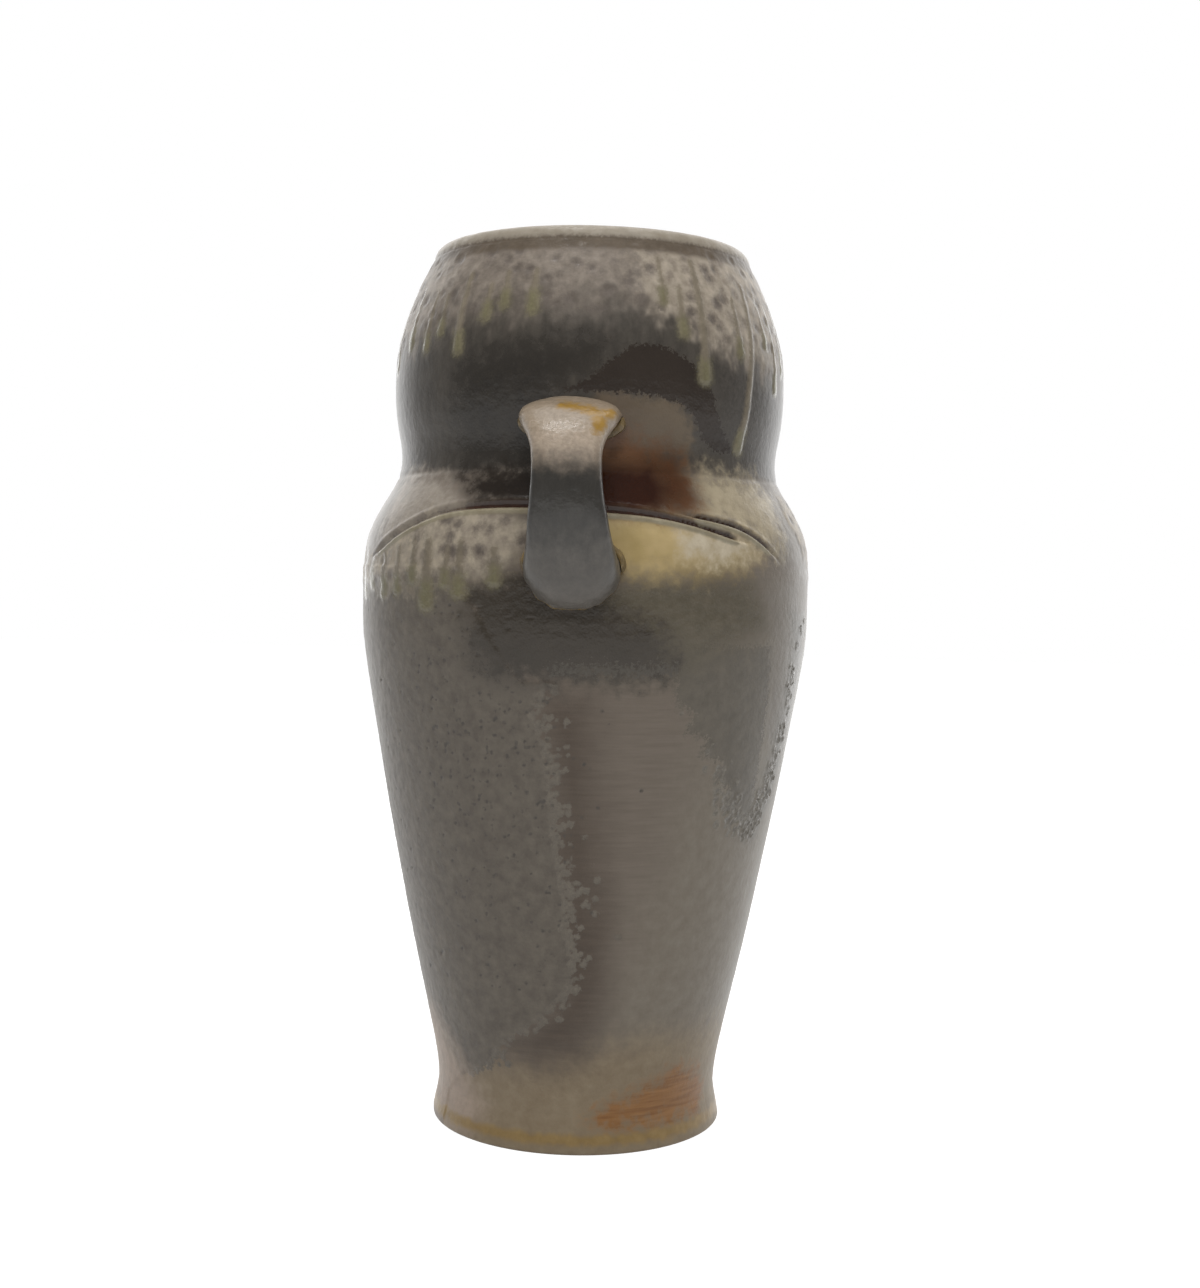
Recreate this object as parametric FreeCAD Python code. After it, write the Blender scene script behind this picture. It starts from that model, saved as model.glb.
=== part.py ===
import FreeCAD, Part
import math
import os

# A one-handled stoneware vessel: a tall belly on a low foot, a pinched waist, a round bulb and a small lip.
# The origin is the middle of the standing ring. Z points up and the handle stands out along -Y.
# Every size is in millimetres. A name that ends in share or shares is a part of the size that it follows.

# Heights of the stacked clay sections, from the ground up
foot_height = 14.0
belly_rise = 186.0
shoulder_rise = 50.0
bulb_rise = 26.0
crown_rise = 47.5
lip_height = 6.5

# Outside radii at the turning points of the outline
ankle_radius = 52.9
belly_radius = 85.25
waist_radius = 71.05
bulb_radius = 73.9
crown_radius = 60.5
lip_radius = 60.0

# Clay thickness, the floor and the rounds of the rim
wall = 6.0
floor_thickness = 9.0
floor_corner_radius = 8.0
lip_outer_round = 4.5
lip_inner_round = 2.0

# Turned foot: how far it flares out, its wall round the seat of the belly, and the recess under the floor
foot_flare = 2.5
foot_wall = 5.9
seat_ledge = 3.0
recess_depth = 6.0
foot_bevel = 0.9

# Coil pressed over the inside of the waist joint
waist_coil_height = 12.0
waist_coil_proud = 2.2
waist_coil_bite = 2.5

# Strap handle: where it leaves the vessel, how far it stands out, and its section
upper_root_rise = 11.7
lower_root_drop = 41.2
upper_root_shift = -1.3
lower_root_shift = 1.0
handle_reach = 24.0
strap_width = 23.0
strap_thickness = 8.8
upper_root_width = 34.5
upper_root_height = 13.6
lower_root_width = 32.5
lower_root_height = 26.4
root_bite = 5.0

# Coils smoothed into the corners under the strap's two ends
coil_overhang = 2.0
coil_proud = 3.5
coil_taper = 1.2
upper_coil_height = 15.5
upper_coil_drop = 2.4
lower_coil_height = 21.0
lower_coil_lift = 3.0

# Lines carved round the shoulder with a round-ended tool
tool_radius = 1.6

# The outline: how far up each stretch a point lies, and how much of the change of radius it has made
belly_rise_shares = (0, 0.086, 0.247, 0.409, 0.570, 0.731, 0.892, 1)
belly_flare_shares = (0, 0.065, 0.269, 0.462, 0.642, 0.807, 0.963, 1)
shoulder_rise_shares = (0.2, 0.32, 0.44, 0.56, 0.68, 0.8, 0.92, 1)
shoulder_taper_shares = (0.019, 0.07, 0.14, 0.32, 0.56, 0.83, 0.98, 1)
bulb_rise_shares = (0, 0.23, 0.46, 0.69, 1)
bulb_swell_shares = (0, 0.19, 0.61, 0.86, 1)
crown_rise_shares = (0.253, 0.379, 0.505, 0.632, 0.779, 0.905, 1)
crown_taper_shares = (0.06, 0.14, 0.26, 0.40, 0.604, 0.82, 1)
foot_rise_shares = (0.107, 0.25, 0.45, 0.75, 1)
foot_waist_shares = (0.0, 0.12, 0.52, 0.90, 1)

# The strap from its upper root down: height between the roots, reach, and how much of the root's
# extra width and extra thickness the strap has there
upper_strap_shares = ((0.99, 0.32, 0.98, 0.52), (0.945, 0.608, 0.84, 0.17), (0.817, 0.877, 0.2, 0.04))
middle_strap_shares = (0.647, 1.0, 0, 0)
lower_strap_shares = ((0.439, 0.954, 0.19, 0.01), (0.231, 0.742, 0.48, 0.06), (0.07, 0.432, 0.84, 0.26))

# How round the strap's section is: 1 is an ellipse, and less is a flatter band with round corners
strap_roundness_share = 0.66
root_roundness_share = 1
section_marks = 16

# Carved lines: the angle round from the handle in degrees, the height as a share of the shoulder,
# and how far the tool's middle stands off the wall as a share of its radius
long_line_left_shares = ((-62, 0.250, 1.05), (-36, 0.552, -0.06), (-8, 0.620, -0.06))
long_line_right_shares = ((-8, 0.620, -0.06), (21.5, 0.560, -0.06), (47, 0.378, 1.05))
short_line_shares = ((27, 0.566, 1.05), (45, 0.500, -0.12), (60, 0.282, 1.05))

# Places that follow from the sizes
belly_height = foot_height + belly_rise
waist_height = belly_height + shoulder_rise
bulb_height = waist_height + bulb_rise
crown_height = bulb_height + crown_rise
top_height = crown_height + lip_height
floor_height = recess_depth + floor_thickness
foot_radius = ankle_radius + foot_flare
seat_radius = ankle_radius - foot_wall
recess_radius = seat_radius - seat_ledge
mouth_radius = lip_radius - lip_outer_round - lip_inner_round
upper_root_level = waist_height + upper_root_rise
lower_root_level = waist_height - lower_root_drop

full_turn = 360.0
half = 0.5
origin = FreeCAD.Vector(0, 0, 0)
upwards = FreeCAD.Vector(0, 0, 1)


def section_point(radius, height):
    """A point of the vessel's half section, which lies in the XZ plane."""
    return FreeCAD.Vector(radius, 0, height)


def along(start, end, shares):
    """The values at these shares of the way from start to end."""
    return [start + (end - start) * share for share in shares]


def line(start, end):
    return Part.LineSegment(start, end).toShape()


def corner_arc(start, centre, end):
    """Round corner from start to end, both at the same distance from the centre."""
    radius = (start - centre).Length
    middle = centre + (start + end - centre * 2).normalize() * radius
    return Part.Arc(start, middle, end).toShape()


def smooth_curve(points, upright_places):
    """Curve through the points that stands upright at the places listed."""
    flags = [place in upright_places for place in range(len(points))]
    curve = Part.BSplineCurve()
    curve.interpolate(Points=points, Tangents=[upwards] * len(points), TangentFlags=flags)
    return curve


def spans(curve):
    """The curve as one edge for each of its stretches, which keeps the turned faces simple."""
    return [piece.toShape() for piece in curve.toBezier()]


def turned(edges):
    """Solid of revolution of a closed half section, as a potter's wheel makes it."""
    return Part.Face(Part.Wire(edges)).revolve(origin, upwards, full_turn)


def save(name, shape):
    """Checks one piece and writes it to its own file."""
    solids = shape.Solids
    print(name, "solids", len(solids), "valid", shape.isValid(), "volume", round(shape.Volume))
    shape.exportStep("parts/" + name + ".step")


# Outline of the vessel

def belly_outline():
    """Outside of the belly and shoulder, from the ankle to the waist."""
    heights = along(foot_height, belly_height, belly_rise_shares)
    heights += along(belly_height, waist_height, shoulder_rise_shares)
    radii = along(ankle_radius, belly_radius, belly_flare_shares)
    radii += along(belly_radius, waist_radius, shoulder_taper_shares)
    points = [section_point(radius, height) for radius, height in zip(radii, heights)]
    widest = len(belly_rise_shares) - 1
    return smooth_curve(points, (0, widest, len(points) - 1)), points


def bulb_outline():
    """Outside of the bulb and its crown, from the waist to the seat of the lip."""
    heights = along(waist_height, bulb_height, bulb_rise_shares)
    heights += along(bulb_height, crown_height, crown_rise_shares)
    radii = along(waist_radius, bulb_radius, bulb_swell_shares)
    radii += along(bulb_radius, crown_radius, crown_taper_shares)
    points = [section_point(radius, height) for radius, height in zip(radii, heights)]
    widest = len(bulb_rise_shares) - 1
    return smooth_curve(points, (0, widest)), points


def set_in(curve, points):
    """The points moved square to the curve by the thickness of the wall."""
    inner = []
    for point in points:
        tangent = curve.tangent(curve.parameter(point))[0]
        inward = FreeCAD.Vector(-tangent.z, 0, tangent.x)
        inner.append(point + inward * wall)
    return inner


def filled(curve, points):
    """The vessel's outline from one height to another with nothing hollowed out."""
    low = section_point(0, points[0].z)
    high = section_point(0, points[-1].z)
    edges = [line(low, points[0])] + spans(curve) + [line(points[-1], high), line(high, low)]
    return turned(edges)


def wall_radius(curve, height):
    """Outside radius of the vessel at a height on one of its outlines."""
    level = Part.LineSegment(section_point(0, height), section_point(2 * belly_radius, height))
    return curve.intersectCC(level)[0].X


def wall_slope(curve, height):
    """Direction in which the wall runs upwards under the handle, at a height on one of its outlines."""
    point = section_point(wall_radius(curve, height), height)
    tangent = curve.tangent(curve.parameter(point))[0]
    return FreeCAD.Vector(0, -tangent.x, tangent.z)


def on_wall(curve, angle, height, lift):
    """Point at an angle round from the handle, lifted off the wall."""
    turn = math.radians(angle)
    radius = wall_radius(curve, height) + lift
    return FreeCAD.Vector(radius * math.sin(turn), -radius * math.cos(turn), height)


# Thrown and turned pieces

def make_foot_ring():
    """Low ring with a flared edge, a recess under the floor and a seat for the belly."""
    heights = along(0, foot_height, foot_rise_shares)
    radii = along(foot_radius, ankle_radius, foot_waist_shares)
    points = [section_point(radius, height) for radius, height in zip(radii, heights)]
    flare = smooth_curve(points, (0, len(points) - 1))
    outer_bevel = section_point(foot_radius - foot_bevel, 0)
    inner_bevel = section_point(recess_radius + foot_bevel, 0)
    recess_edge = section_point(recess_radius, foot_bevel)
    ledge = section_point(recess_radius, recess_depth)
    seat = section_point(seat_radius, recess_depth)
    rim = section_point(seat_radius, foot_height)
    edges = [line(outer_bevel, points[0])] + spans(flare) + [line(points[-1], rim), line(rim, seat)]
    edges += [line(seat, ledge), line(ledge, recess_edge), line(recess_edge, inner_bevel)]
    edges.append(line(inner_bevel, outer_bevel))
    return turned(edges)


def make_belly(curve, points):
    """Closed-bottomed section from the foot's seat to the waist, hollow inside."""
    inner_ankle = ankle_radius - wall
    corner_top = section_point(inner_ankle, floor_height + floor_corner_radius)
    corner_centre = section_point(inner_ankle - floor_corner_radius, corner_top.z)
    corner_low = section_point(corner_centre.x, floor_height)
    inner = [corner_top] + set_in(curve, points)[2:]
    inner_curve = smooth_curve(inner, (0, len(inner) - 1))
    underside = section_point(0, recess_depth)
    spigot_low = section_point(seat_radius, recess_depth)
    spigot_top = section_point(seat_radius, foot_height)
    floor_middle = section_point(0, floor_height)
    edges = [line(underside, spigot_low), line(spigot_low, spigot_top), line(spigot_top, points[0])]
    edges += spans(curve) + [line(points[-1], inner[-1])] + spans(inner_curve)[::-1]
    edges += [corner_arc(corner_top, corner_centre, corner_low), line(corner_low, floor_middle)]
    edges.append(line(floor_middle, underside))
    return turned(edges)


def make_bulb(curve, points):
    """Upper section, open at the waist below and at the lip above."""
    inner = set_in(curve, points)[:-1] + [section_point(mouth_radius, crown_height)]
    inner_curve = smooth_curve(inner, (0,))
    edges = spans(curve) + [line(points[-1], inner[-1])] + spans(inner_curve)[::-1]
    edges.append(line(inner[0], points[0]))
    return turned(edges)


def make_lip():
    """Collar with an upright face and a rounded rim, highest near the mouth."""
    peak = section_point(lip_radius - lip_outer_round, top_height)
    outer_start = section_point(lip_radius, top_height - lip_outer_round)
    outer_centre = section_point(peak.x, outer_start.z)
    throat = section_point(mouth_radius, top_height - lip_inner_round)
    inner_centre = section_point(peak.x, throat.z)
    outer_seat = section_point(lip_radius, crown_height)
    inner_seat = section_point(mouth_radius, crown_height)
    edges = [line(inner_seat, outer_seat), line(outer_seat, outer_start)]
    edges += [corner_arc(outer_start, outer_centre, peak), corner_arc(peak, inner_centre, throat)]
    edges.append(line(throat, inner_seat))
    return turned(edges)


def make_waist_coil(belly, bulb):
    """Thin coil smoothed over the inside of the joint between belly and bulb."""
    inner_waist = waist_radius - wall
    low = section_point(inner_waist + waist_coil_bite, waist_height - waist_coil_height * half)
    high = section_point(low.x, waist_height + waist_coil_height * half)
    crest = section_point(inner_waist - waist_coil_proud, waist_height)
    edges = [Part.Arc(low, crest, high).toShape(), line(high, low)]
    return turned(edges).cut([belly, bulb])


# Lines carved in the shoulder

def carved_line(curve, shares):
    """Round tool drawn along an arc that starts and ends clear of the wall or in the next line."""
    stations = []
    for angle, rise_share, lift_share in shares:
        height = belly_height + shoulder_rise * rise_share
        stations.append(on_wall(curve, angle, height, tool_radius * lift_share))
    path = Part.Arc(*stations)
    start = path.tangent(path.FirstParameter)[0]
    tip = Part.Circle(stations[0], start, tool_radius).toShape()
    return Part.Wire([path.toShape()]).makePipeShell([Part.Wire([tip])], True, False)


def carve(belly, curve):
    """Cuts the long line that runs behind the handle and the short one to its right."""
    angle, rise_share, lift_share = long_line_left_shares[-1]
    meeting = on_wall(curve, angle, belly_height + shoulder_rise * rise_share, tool_radius * lift_share)
    belly = belly.cut(carved_line(curve, long_line_left_shares))
    belly = belly.cut(carved_line(curve, long_line_right_shares))
    belly = belly.cut(Part.makeSphere(tool_radius, meeting))
    return belly.cut(carved_line(curve, short_line_shares))


# The handle and its coils

def signed_power(value, power):
    return math.copysign(abs(value) ** power, value)


def flat_section(middle, across, width, thickness, roundness):
    """Closed round-cornered outline, its long side along X and its short side along across."""
    sideways = FreeCAD.Vector(1, 0, 0)
    marks = []
    for mark in range(section_marks):
        turn = 2 * math.pi * mark / section_marks
        aside = width * half * signed_power(math.cos(turn), roundness)
        over = thickness * half * signed_power(math.sin(turn), roundness)
        marks.append(middle + sideways * aside + across * over)
    outline = Part.BSplineCurve()
    outline.interpolate(Points=marks, PeriodicFlag=True)
    return Part.Wire([outline.toShape()])


def strap_stations(upper_radius, lower_radius):
    """Middle point, width, thickness and roundness of the strap, from the upper root down."""
    upper = (upper_root_width, upper_root_height, root_roundness_share)
    lower = (lower_root_width, lower_root_height, root_roundness_share)
    upper_middle = FreeCAD.Vector(upper_root_shift, -upper_radius, upper_root_level)
    lower_middle = FreeCAD.Vector(lower_root_shift, -lower_radius, lower_root_level)
    sunk = FreeCAD.Vector(0, root_bite, 0)
    stations = [(upper_middle + sunk,) + upper, (upper_middle,) + upper]
    groups = [(shares, upper) for shares in upper_strap_shares + (middle_strap_shares,)]
    groups += [(shares, lower) for shares in lower_strap_shares]
    for shares, root in groups:
        rise_share, reach_share, width_share, thickness_share = shares
        middle = lower_middle + (upper_middle - lower_middle) * rise_share
        middle = middle - FreeCAD.Vector(0, handle_reach * reach_share, 0)
        width = strap_width + (root[0] - strap_width) * width_share
        thickness = strap_thickness + (root[1] - strap_thickness) * thickness_share
        roundness = strap_roundness_share + (root[2] - strap_roundness_share) * thickness_share
        stations.append((middle, width, thickness, roundness))
    return stations + [(lower_middle,) + lower, (lower_middle + sunk,) + lower]


def make_strap(upper_radius, lower_radius):
    """One pulled strap of clay, spread at both ends where it is pressed on the vessel."""
    stations = strap_stations(upper_radius, lower_radius)
    path = Part.BSplineCurve()
    path.interpolate(Points=[station[0] for station in stations])
    sections = []
    for middle, width, thickness, roundness in stations:
        ahead = path.tangent(path.parameter(middle))[0]
        across = FreeCAD.Vector(0, -ahead.z, ahead.y).normalize()
        sections.append(flat_section(middle, across, width, thickness, roundness))
    return Part.makeLoft(sections, True, False)


def make_coil(curve, shift, level, width, height):
    """Pad of clay, square to the wall, that fills the corner between the strap's end and the wall."""
    slope = wall_slope(curve, level)
    outward = FreeCAD.Vector(0, -slope.z, slope.y)
    seat = FreeCAD.Vector(shift, -wall_radius(curve, level), level)
    base = flat_section(seat - outward * root_bite, slope, width, height, root_roundness_share)
    top_width = width - 2 * coil_taper
    top_height = height - 2 * coil_taper
    top = flat_section(seat + outward * coil_proud, slope, top_width, top_height, root_roundness_share)
    return Part.makeLoft([base, top], True, True)


os.makedirs("parts", exist_ok=True)

belly_curve, belly_marks = belly_outline()
bulb_curve, bulb_marks = bulb_outline()
belly_core = filled(belly_curve, belly_marks)
bulb_core = filled(bulb_curve, bulb_marks)

belly_shell = make_belly(belly_curve, belly_marks)
bulb_shell = make_bulb(bulb_curve, bulb_marks)
waist_coil = make_waist_coil(belly_shell, bulb_shell)

upper_wall = wall_radius(bulb_curve, upper_root_level)
lower_wall = wall_radius(belly_curve, lower_root_level)
strap = make_strap(upper_wall, lower_wall)

upper_coil_width = upper_root_width + 2 * coil_overhang
upper_coil_level = upper_root_level - upper_coil_drop
upper_coil = make_coil(bulb_curve, upper_root_shift, upper_coil_level, upper_coil_width, upper_coil_height)
lower_coil_width = lower_root_width + 2 * coil_overhang
lower_coil_level = lower_root_level + lower_coil_lift
lower_coil = make_coil(belly_curve, lower_root_shift, lower_coil_level, lower_coil_width, lower_coil_height)

save("foot_ring", make_foot_ring())
save("belly", carve(belly_shell, belly_curve))
save("bulb", bulb_shell)
save("lip", make_lip())
save("waist_coil", waist_coil)
save("handle_strap", strap.cut([belly_core, bulb_core]))
save("handle_top_coil", upper_coil.cut([belly_core, bulb_core, strap]))
save("handle_bottom_coil", lower_coil.cut([belly_core, bulb_core, strap]))
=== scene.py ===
# %% [markdown]
# # A one-handled stoneware vessel, fired with wood ash
#
# The vessel was thrown on a wheel, joined at the waist, given a pulled strap handle and fired in an
# ash-laden kiln. Its shape is simple: a half section turned round an axis, and a strap. What makes it
# look real is its skin: runs and beads of ash glaze, pits, carved lines and flashes of rust.
#
# The plan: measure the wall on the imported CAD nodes, turn a fine mesh from it, raise the relief in that
# mesh, store for each vertex how deep it lies inside each glaze zone, and let the materials read those
# depths.

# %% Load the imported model
import math
import random

import bmesh
import bpy
import numpy as np
from mathutils import Matrix, Vector, kdtree, noise
from mathutils.bvhtree import BVHTree


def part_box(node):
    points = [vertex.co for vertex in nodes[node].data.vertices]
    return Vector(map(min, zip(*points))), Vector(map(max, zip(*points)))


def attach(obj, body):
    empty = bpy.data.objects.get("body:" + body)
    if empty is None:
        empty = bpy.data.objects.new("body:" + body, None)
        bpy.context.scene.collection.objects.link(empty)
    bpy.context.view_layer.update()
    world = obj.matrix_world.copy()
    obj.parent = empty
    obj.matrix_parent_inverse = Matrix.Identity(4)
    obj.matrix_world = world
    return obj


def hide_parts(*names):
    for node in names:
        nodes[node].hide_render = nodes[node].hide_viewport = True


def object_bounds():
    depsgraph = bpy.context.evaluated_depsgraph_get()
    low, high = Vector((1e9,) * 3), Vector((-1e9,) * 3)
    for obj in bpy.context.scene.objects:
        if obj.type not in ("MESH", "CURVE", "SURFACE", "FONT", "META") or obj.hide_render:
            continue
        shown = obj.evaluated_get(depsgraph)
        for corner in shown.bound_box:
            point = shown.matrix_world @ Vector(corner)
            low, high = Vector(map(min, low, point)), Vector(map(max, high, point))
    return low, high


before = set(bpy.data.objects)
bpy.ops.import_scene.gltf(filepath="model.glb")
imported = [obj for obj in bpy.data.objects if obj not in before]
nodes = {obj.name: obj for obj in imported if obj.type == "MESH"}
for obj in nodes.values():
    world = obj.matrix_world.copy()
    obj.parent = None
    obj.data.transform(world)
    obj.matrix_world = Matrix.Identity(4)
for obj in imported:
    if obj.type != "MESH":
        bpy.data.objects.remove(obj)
cad_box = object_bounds()
MM = 0.001
print("CAD box in mm:", [[round(side / MM, 1) for side in corner] for corner in cad_box])

# %% [markdown]
# ## The camera
#
# The photo was taken from a little above the shoulder, a few degrees to the right of the handle, with the
# camera slightly tilted. The lens and the distance decide how much the rim's ellipse opens, so they are
# set first, and everything after is judged through them.

# %% Set the camera
photo_height_pixels = 1288
focal_length_pixels = 1694.8
sensor_side = 36.0
nearest_seen = 10 * MM
camera_distance = 653.5 * MM
eye_height = 206.7 * MM
camera_azimuth = math.radians(3.8)
camera_yaw = math.radians(-0.51)
camera_pitch = math.radians(2.23)
camera_roll = math.radians(1.169)

lens = bpy.data.cameras.new("camera")
lens.sensor_width = sensor_side
lens.lens = focal_length_pixels * sensor_side / photo_height_pixels
lens.clip_start = nearest_seen
camera = bpy.data.objects.new("camera", lens)
bpy.context.scene.collection.objects.link(camera)
stand = Vector((camera_distance * math.sin(camera_azimuth),
                -camera_distance * math.cos(camera_azimuth),
                eye_height))
turn = Matrix.Rotation(camera_azimuth + camera_yaw, 4, "Z")
tilt = Matrix.Rotation(math.radians(90) - camera_pitch, 4, "X")
camera.matrix_world = Matrix.Translation(stand) @ turn @ tilt @ Matrix.Rotation(camera_roll, 4, "Z")
bpy.context.scene.camera = camera
print("lens", round(lens.lens, 1), "mm, camera", round(camera_distance / MM), "mm from the axis")

# %% [markdown]
# ## Measuring the wall
#
# A new skin has to lie where the CAD wall is. A ray shot at the wall from behind, where there is no
# handle and no carved line, gives its radius at a height. The CAD mesh is made of small flats, which a
# glossy glaze would show as bands, so the measured radii are averaged over a few millimetres.

# %% Shoot rays at the wall
levels = {"ground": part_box("foot_ring")[0].z, "ankle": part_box("foot_ring")[1].z, "waist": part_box("bulb")[0].z,
          "crown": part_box("lip")[0].z, "top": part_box("lip")[1].z}
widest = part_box("belly")[1].x
far = 2 * widest
sample_pitch = 1 * MM
end_gap = 0.1 * sample_pitch
ease_samples = 3
ease_span = 3 * ease_samples


def ray_tree(name):
    """Search tree of one CAD node's faces."""
    shell = bmesh.new()
    shell.from_mesh(nodes[name].data)
    tree = BVHTree.FromBMesh(shell)
    shell.free()
    return tree


def measure(tree, heights, from_outside):
    """Radius of the wall at each height, seen from outside or from the axis."""
    start = far if from_outside else 0
    step = Vector((0, -1 if from_outside else 1, 0))
    return [tree.ray_cast(Vector((0, start, height)), step)[0].y for height in heights]


def eased(values):
    """Moving average that keeps the ends."""
    reach = np.arange(-ease_span, ease_span + 1)
    weights = np.exp(-0.5 * (reach / ease_samples) ** 2)
    padded = np.pad(values, ease_span, mode="reflect", reflect_type="odd")
    return np.convolve(padded, weights / weights.sum(), mode="valid")


def sampled(low, high):
    """Heights just inside a stretch of wall."""
    return np.linspace(low + end_gap, high - end_gap, round((high - low) / sample_pitch))


belly_tree = ray_tree("belly")
bulb_tree = ray_tree("bulb")
lower_z = sampled(levels["ankle"], levels["waist"])
upper_z = sampled(levels["waist"], levels["crown"])
wall_z = np.concatenate([lower_z, upper_z])
wall_r = eased(np.concatenate([measure(belly_tree, lower_z, True), measure(bulb_tree, upper_z, True)]))
print("wall radius in mm from", round(wall_r.min() / MM, 1), "to", round(wall_r.max() / MM, 1))

# %% [markdown]
# The inside is measured the same way, with rays from the axis. The lowest samples lie in the tight corner
# between the wall and the floor. Averaging would round that corner off, so they stay as they are.

# %% Measure the inside
corner_samples = 8
probe_height = 100 * MM
floor_level = belly_tree.ray_cast(Vector((0, 0, levels["waist"])), Vector((0, 0, -1)))[0].z
recess_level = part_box("belly")[0].z
hollow_low_z = sampled(floor_level + sample_pitch, levels["waist"])
inside_z = np.concatenate([hollow_low_z, upper_z])
inside_r = np.concatenate([measure(belly_tree, hollow_low_z, False), measure(bulb_tree, upper_z, False)])
inside_r = np.concatenate([inside_r[:corner_samples], eased(inside_r[corner_samples:])])


def outer(height):
    """Outside radius of the vessel's wall at a height."""
    return np.interp(height, wall_z, wall_r)


def inner(height):
    """Inside radius of the vessel's wall at a height."""
    return np.interp(height, inside_z, inside_r)


wall_thickness = outer(probe_height) - inner(probe_height)
print("inside floor at", round(floor_level / MM, 1), "mm, wall", round(wall_thickness / MM, 1), "mm thick")

# %% [markdown]
# ## Turning a half section
#
# A potter's wheel and Blender's spin do the same thing: they turn an outline round an axis. The outline's
# rows are spaced evenly along the wall, close enough to hold a bead of glaze 2 mm wide, and closer on the
# shoulder, where the carved lines cross them at a slant. Each step of a spin takes longer the more mesh
# there is, so one sector is spun finely and then repeated round the axis, which is many times faster. The
# belly alone would pass 200,000 triangles at that spacing, so its wall is turned as three rings that meet
# face to face.

# %% Turn outlines into meshes
sectors = 20
sector_steps = 30
row_pitch = 0.85 * MM
carved_row_pitch = 0.45 * MM
inside_pitch = 4 * MM
measuring_steps = 600
weld = 0.01 * MM


def rows(low, high, profile, pitch):
    """Heights from low to high, evenly spaced along the wall."""
    fine = np.linspace(low, high, measuring_steps)
    length = np.concatenate([[0], np.cumsum(np.hypot(np.diff(fine), np.diff(profile(fine))))])
    count = max(1, round(length[-1] / pitch))
    return np.interp(np.linspace(0, length[-1], count + 1), length, fine)


def wall_points(low, high, profile, pitch):
    """Points of one side of the wall from low to high."""
    return [(float(profile(height)), float(height)) for height in rows(low, high, profile, pitch)]


def spun(name, outline, closed=True, steps=sector_steps):
    """Mesh of a half section turned once round the vessel's axis, sector by sector."""
    shell = bmesh.new()
    points = [shell.verts.new((0, radius, height)) for radius, height in outline]
    pairs = list(zip(points, points[1:])) + ([(points[-1], points[0])] if closed else [])
    edges = [shell.edges.new(pair) for pair in pairs]
    sector = math.tau / sectors
    wheel = {"cent": (0, 0, 0), "axis": (0, 0, 1)}
    bmesh.ops.spin(shell, geom=points + edges, angle=sector, steps=steps, **wheel)
    bmesh.ops.spin(shell, geom=shell.verts[:] + shell.edges[:] + shell.faces[:], angle=math.tau - sector,
                   steps=sectors - 1, use_duplicate=True, **wheel)
    bmesh.ops.remove_doubles(shell, verts=shell.verts, dist=weld)
    bmesh.ops.recalc_face_normals(shell, faces=shell.faces)
    mesh = bpy.data.meshes.new(name)
    shell.to_mesh(mesh)
    shell.free()
    return mesh


print(sectors * sector_steps, "steps round the axis, rows", round(row_pitch / MM, 2), "mm apart")

# %% [markdown]
# ## Where a vertex is on the wall
#
# A zone of glaze is easiest to draw on the unrolled wall: the angle round from the handle, in degrees,
# and the height in millimetres. One degree of the wall is about 1.3 mm long, so distances there are close
# to real ones. A vertex keeps how deep it lies inside a zone, in millimetres. A material can turn that
# into a soft or a crisp edge, and add its own raggedness, at any time.

# %% Unroll the wall
degree_length = 1.3
tiny, endless = 1e-9, 1e9


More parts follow.
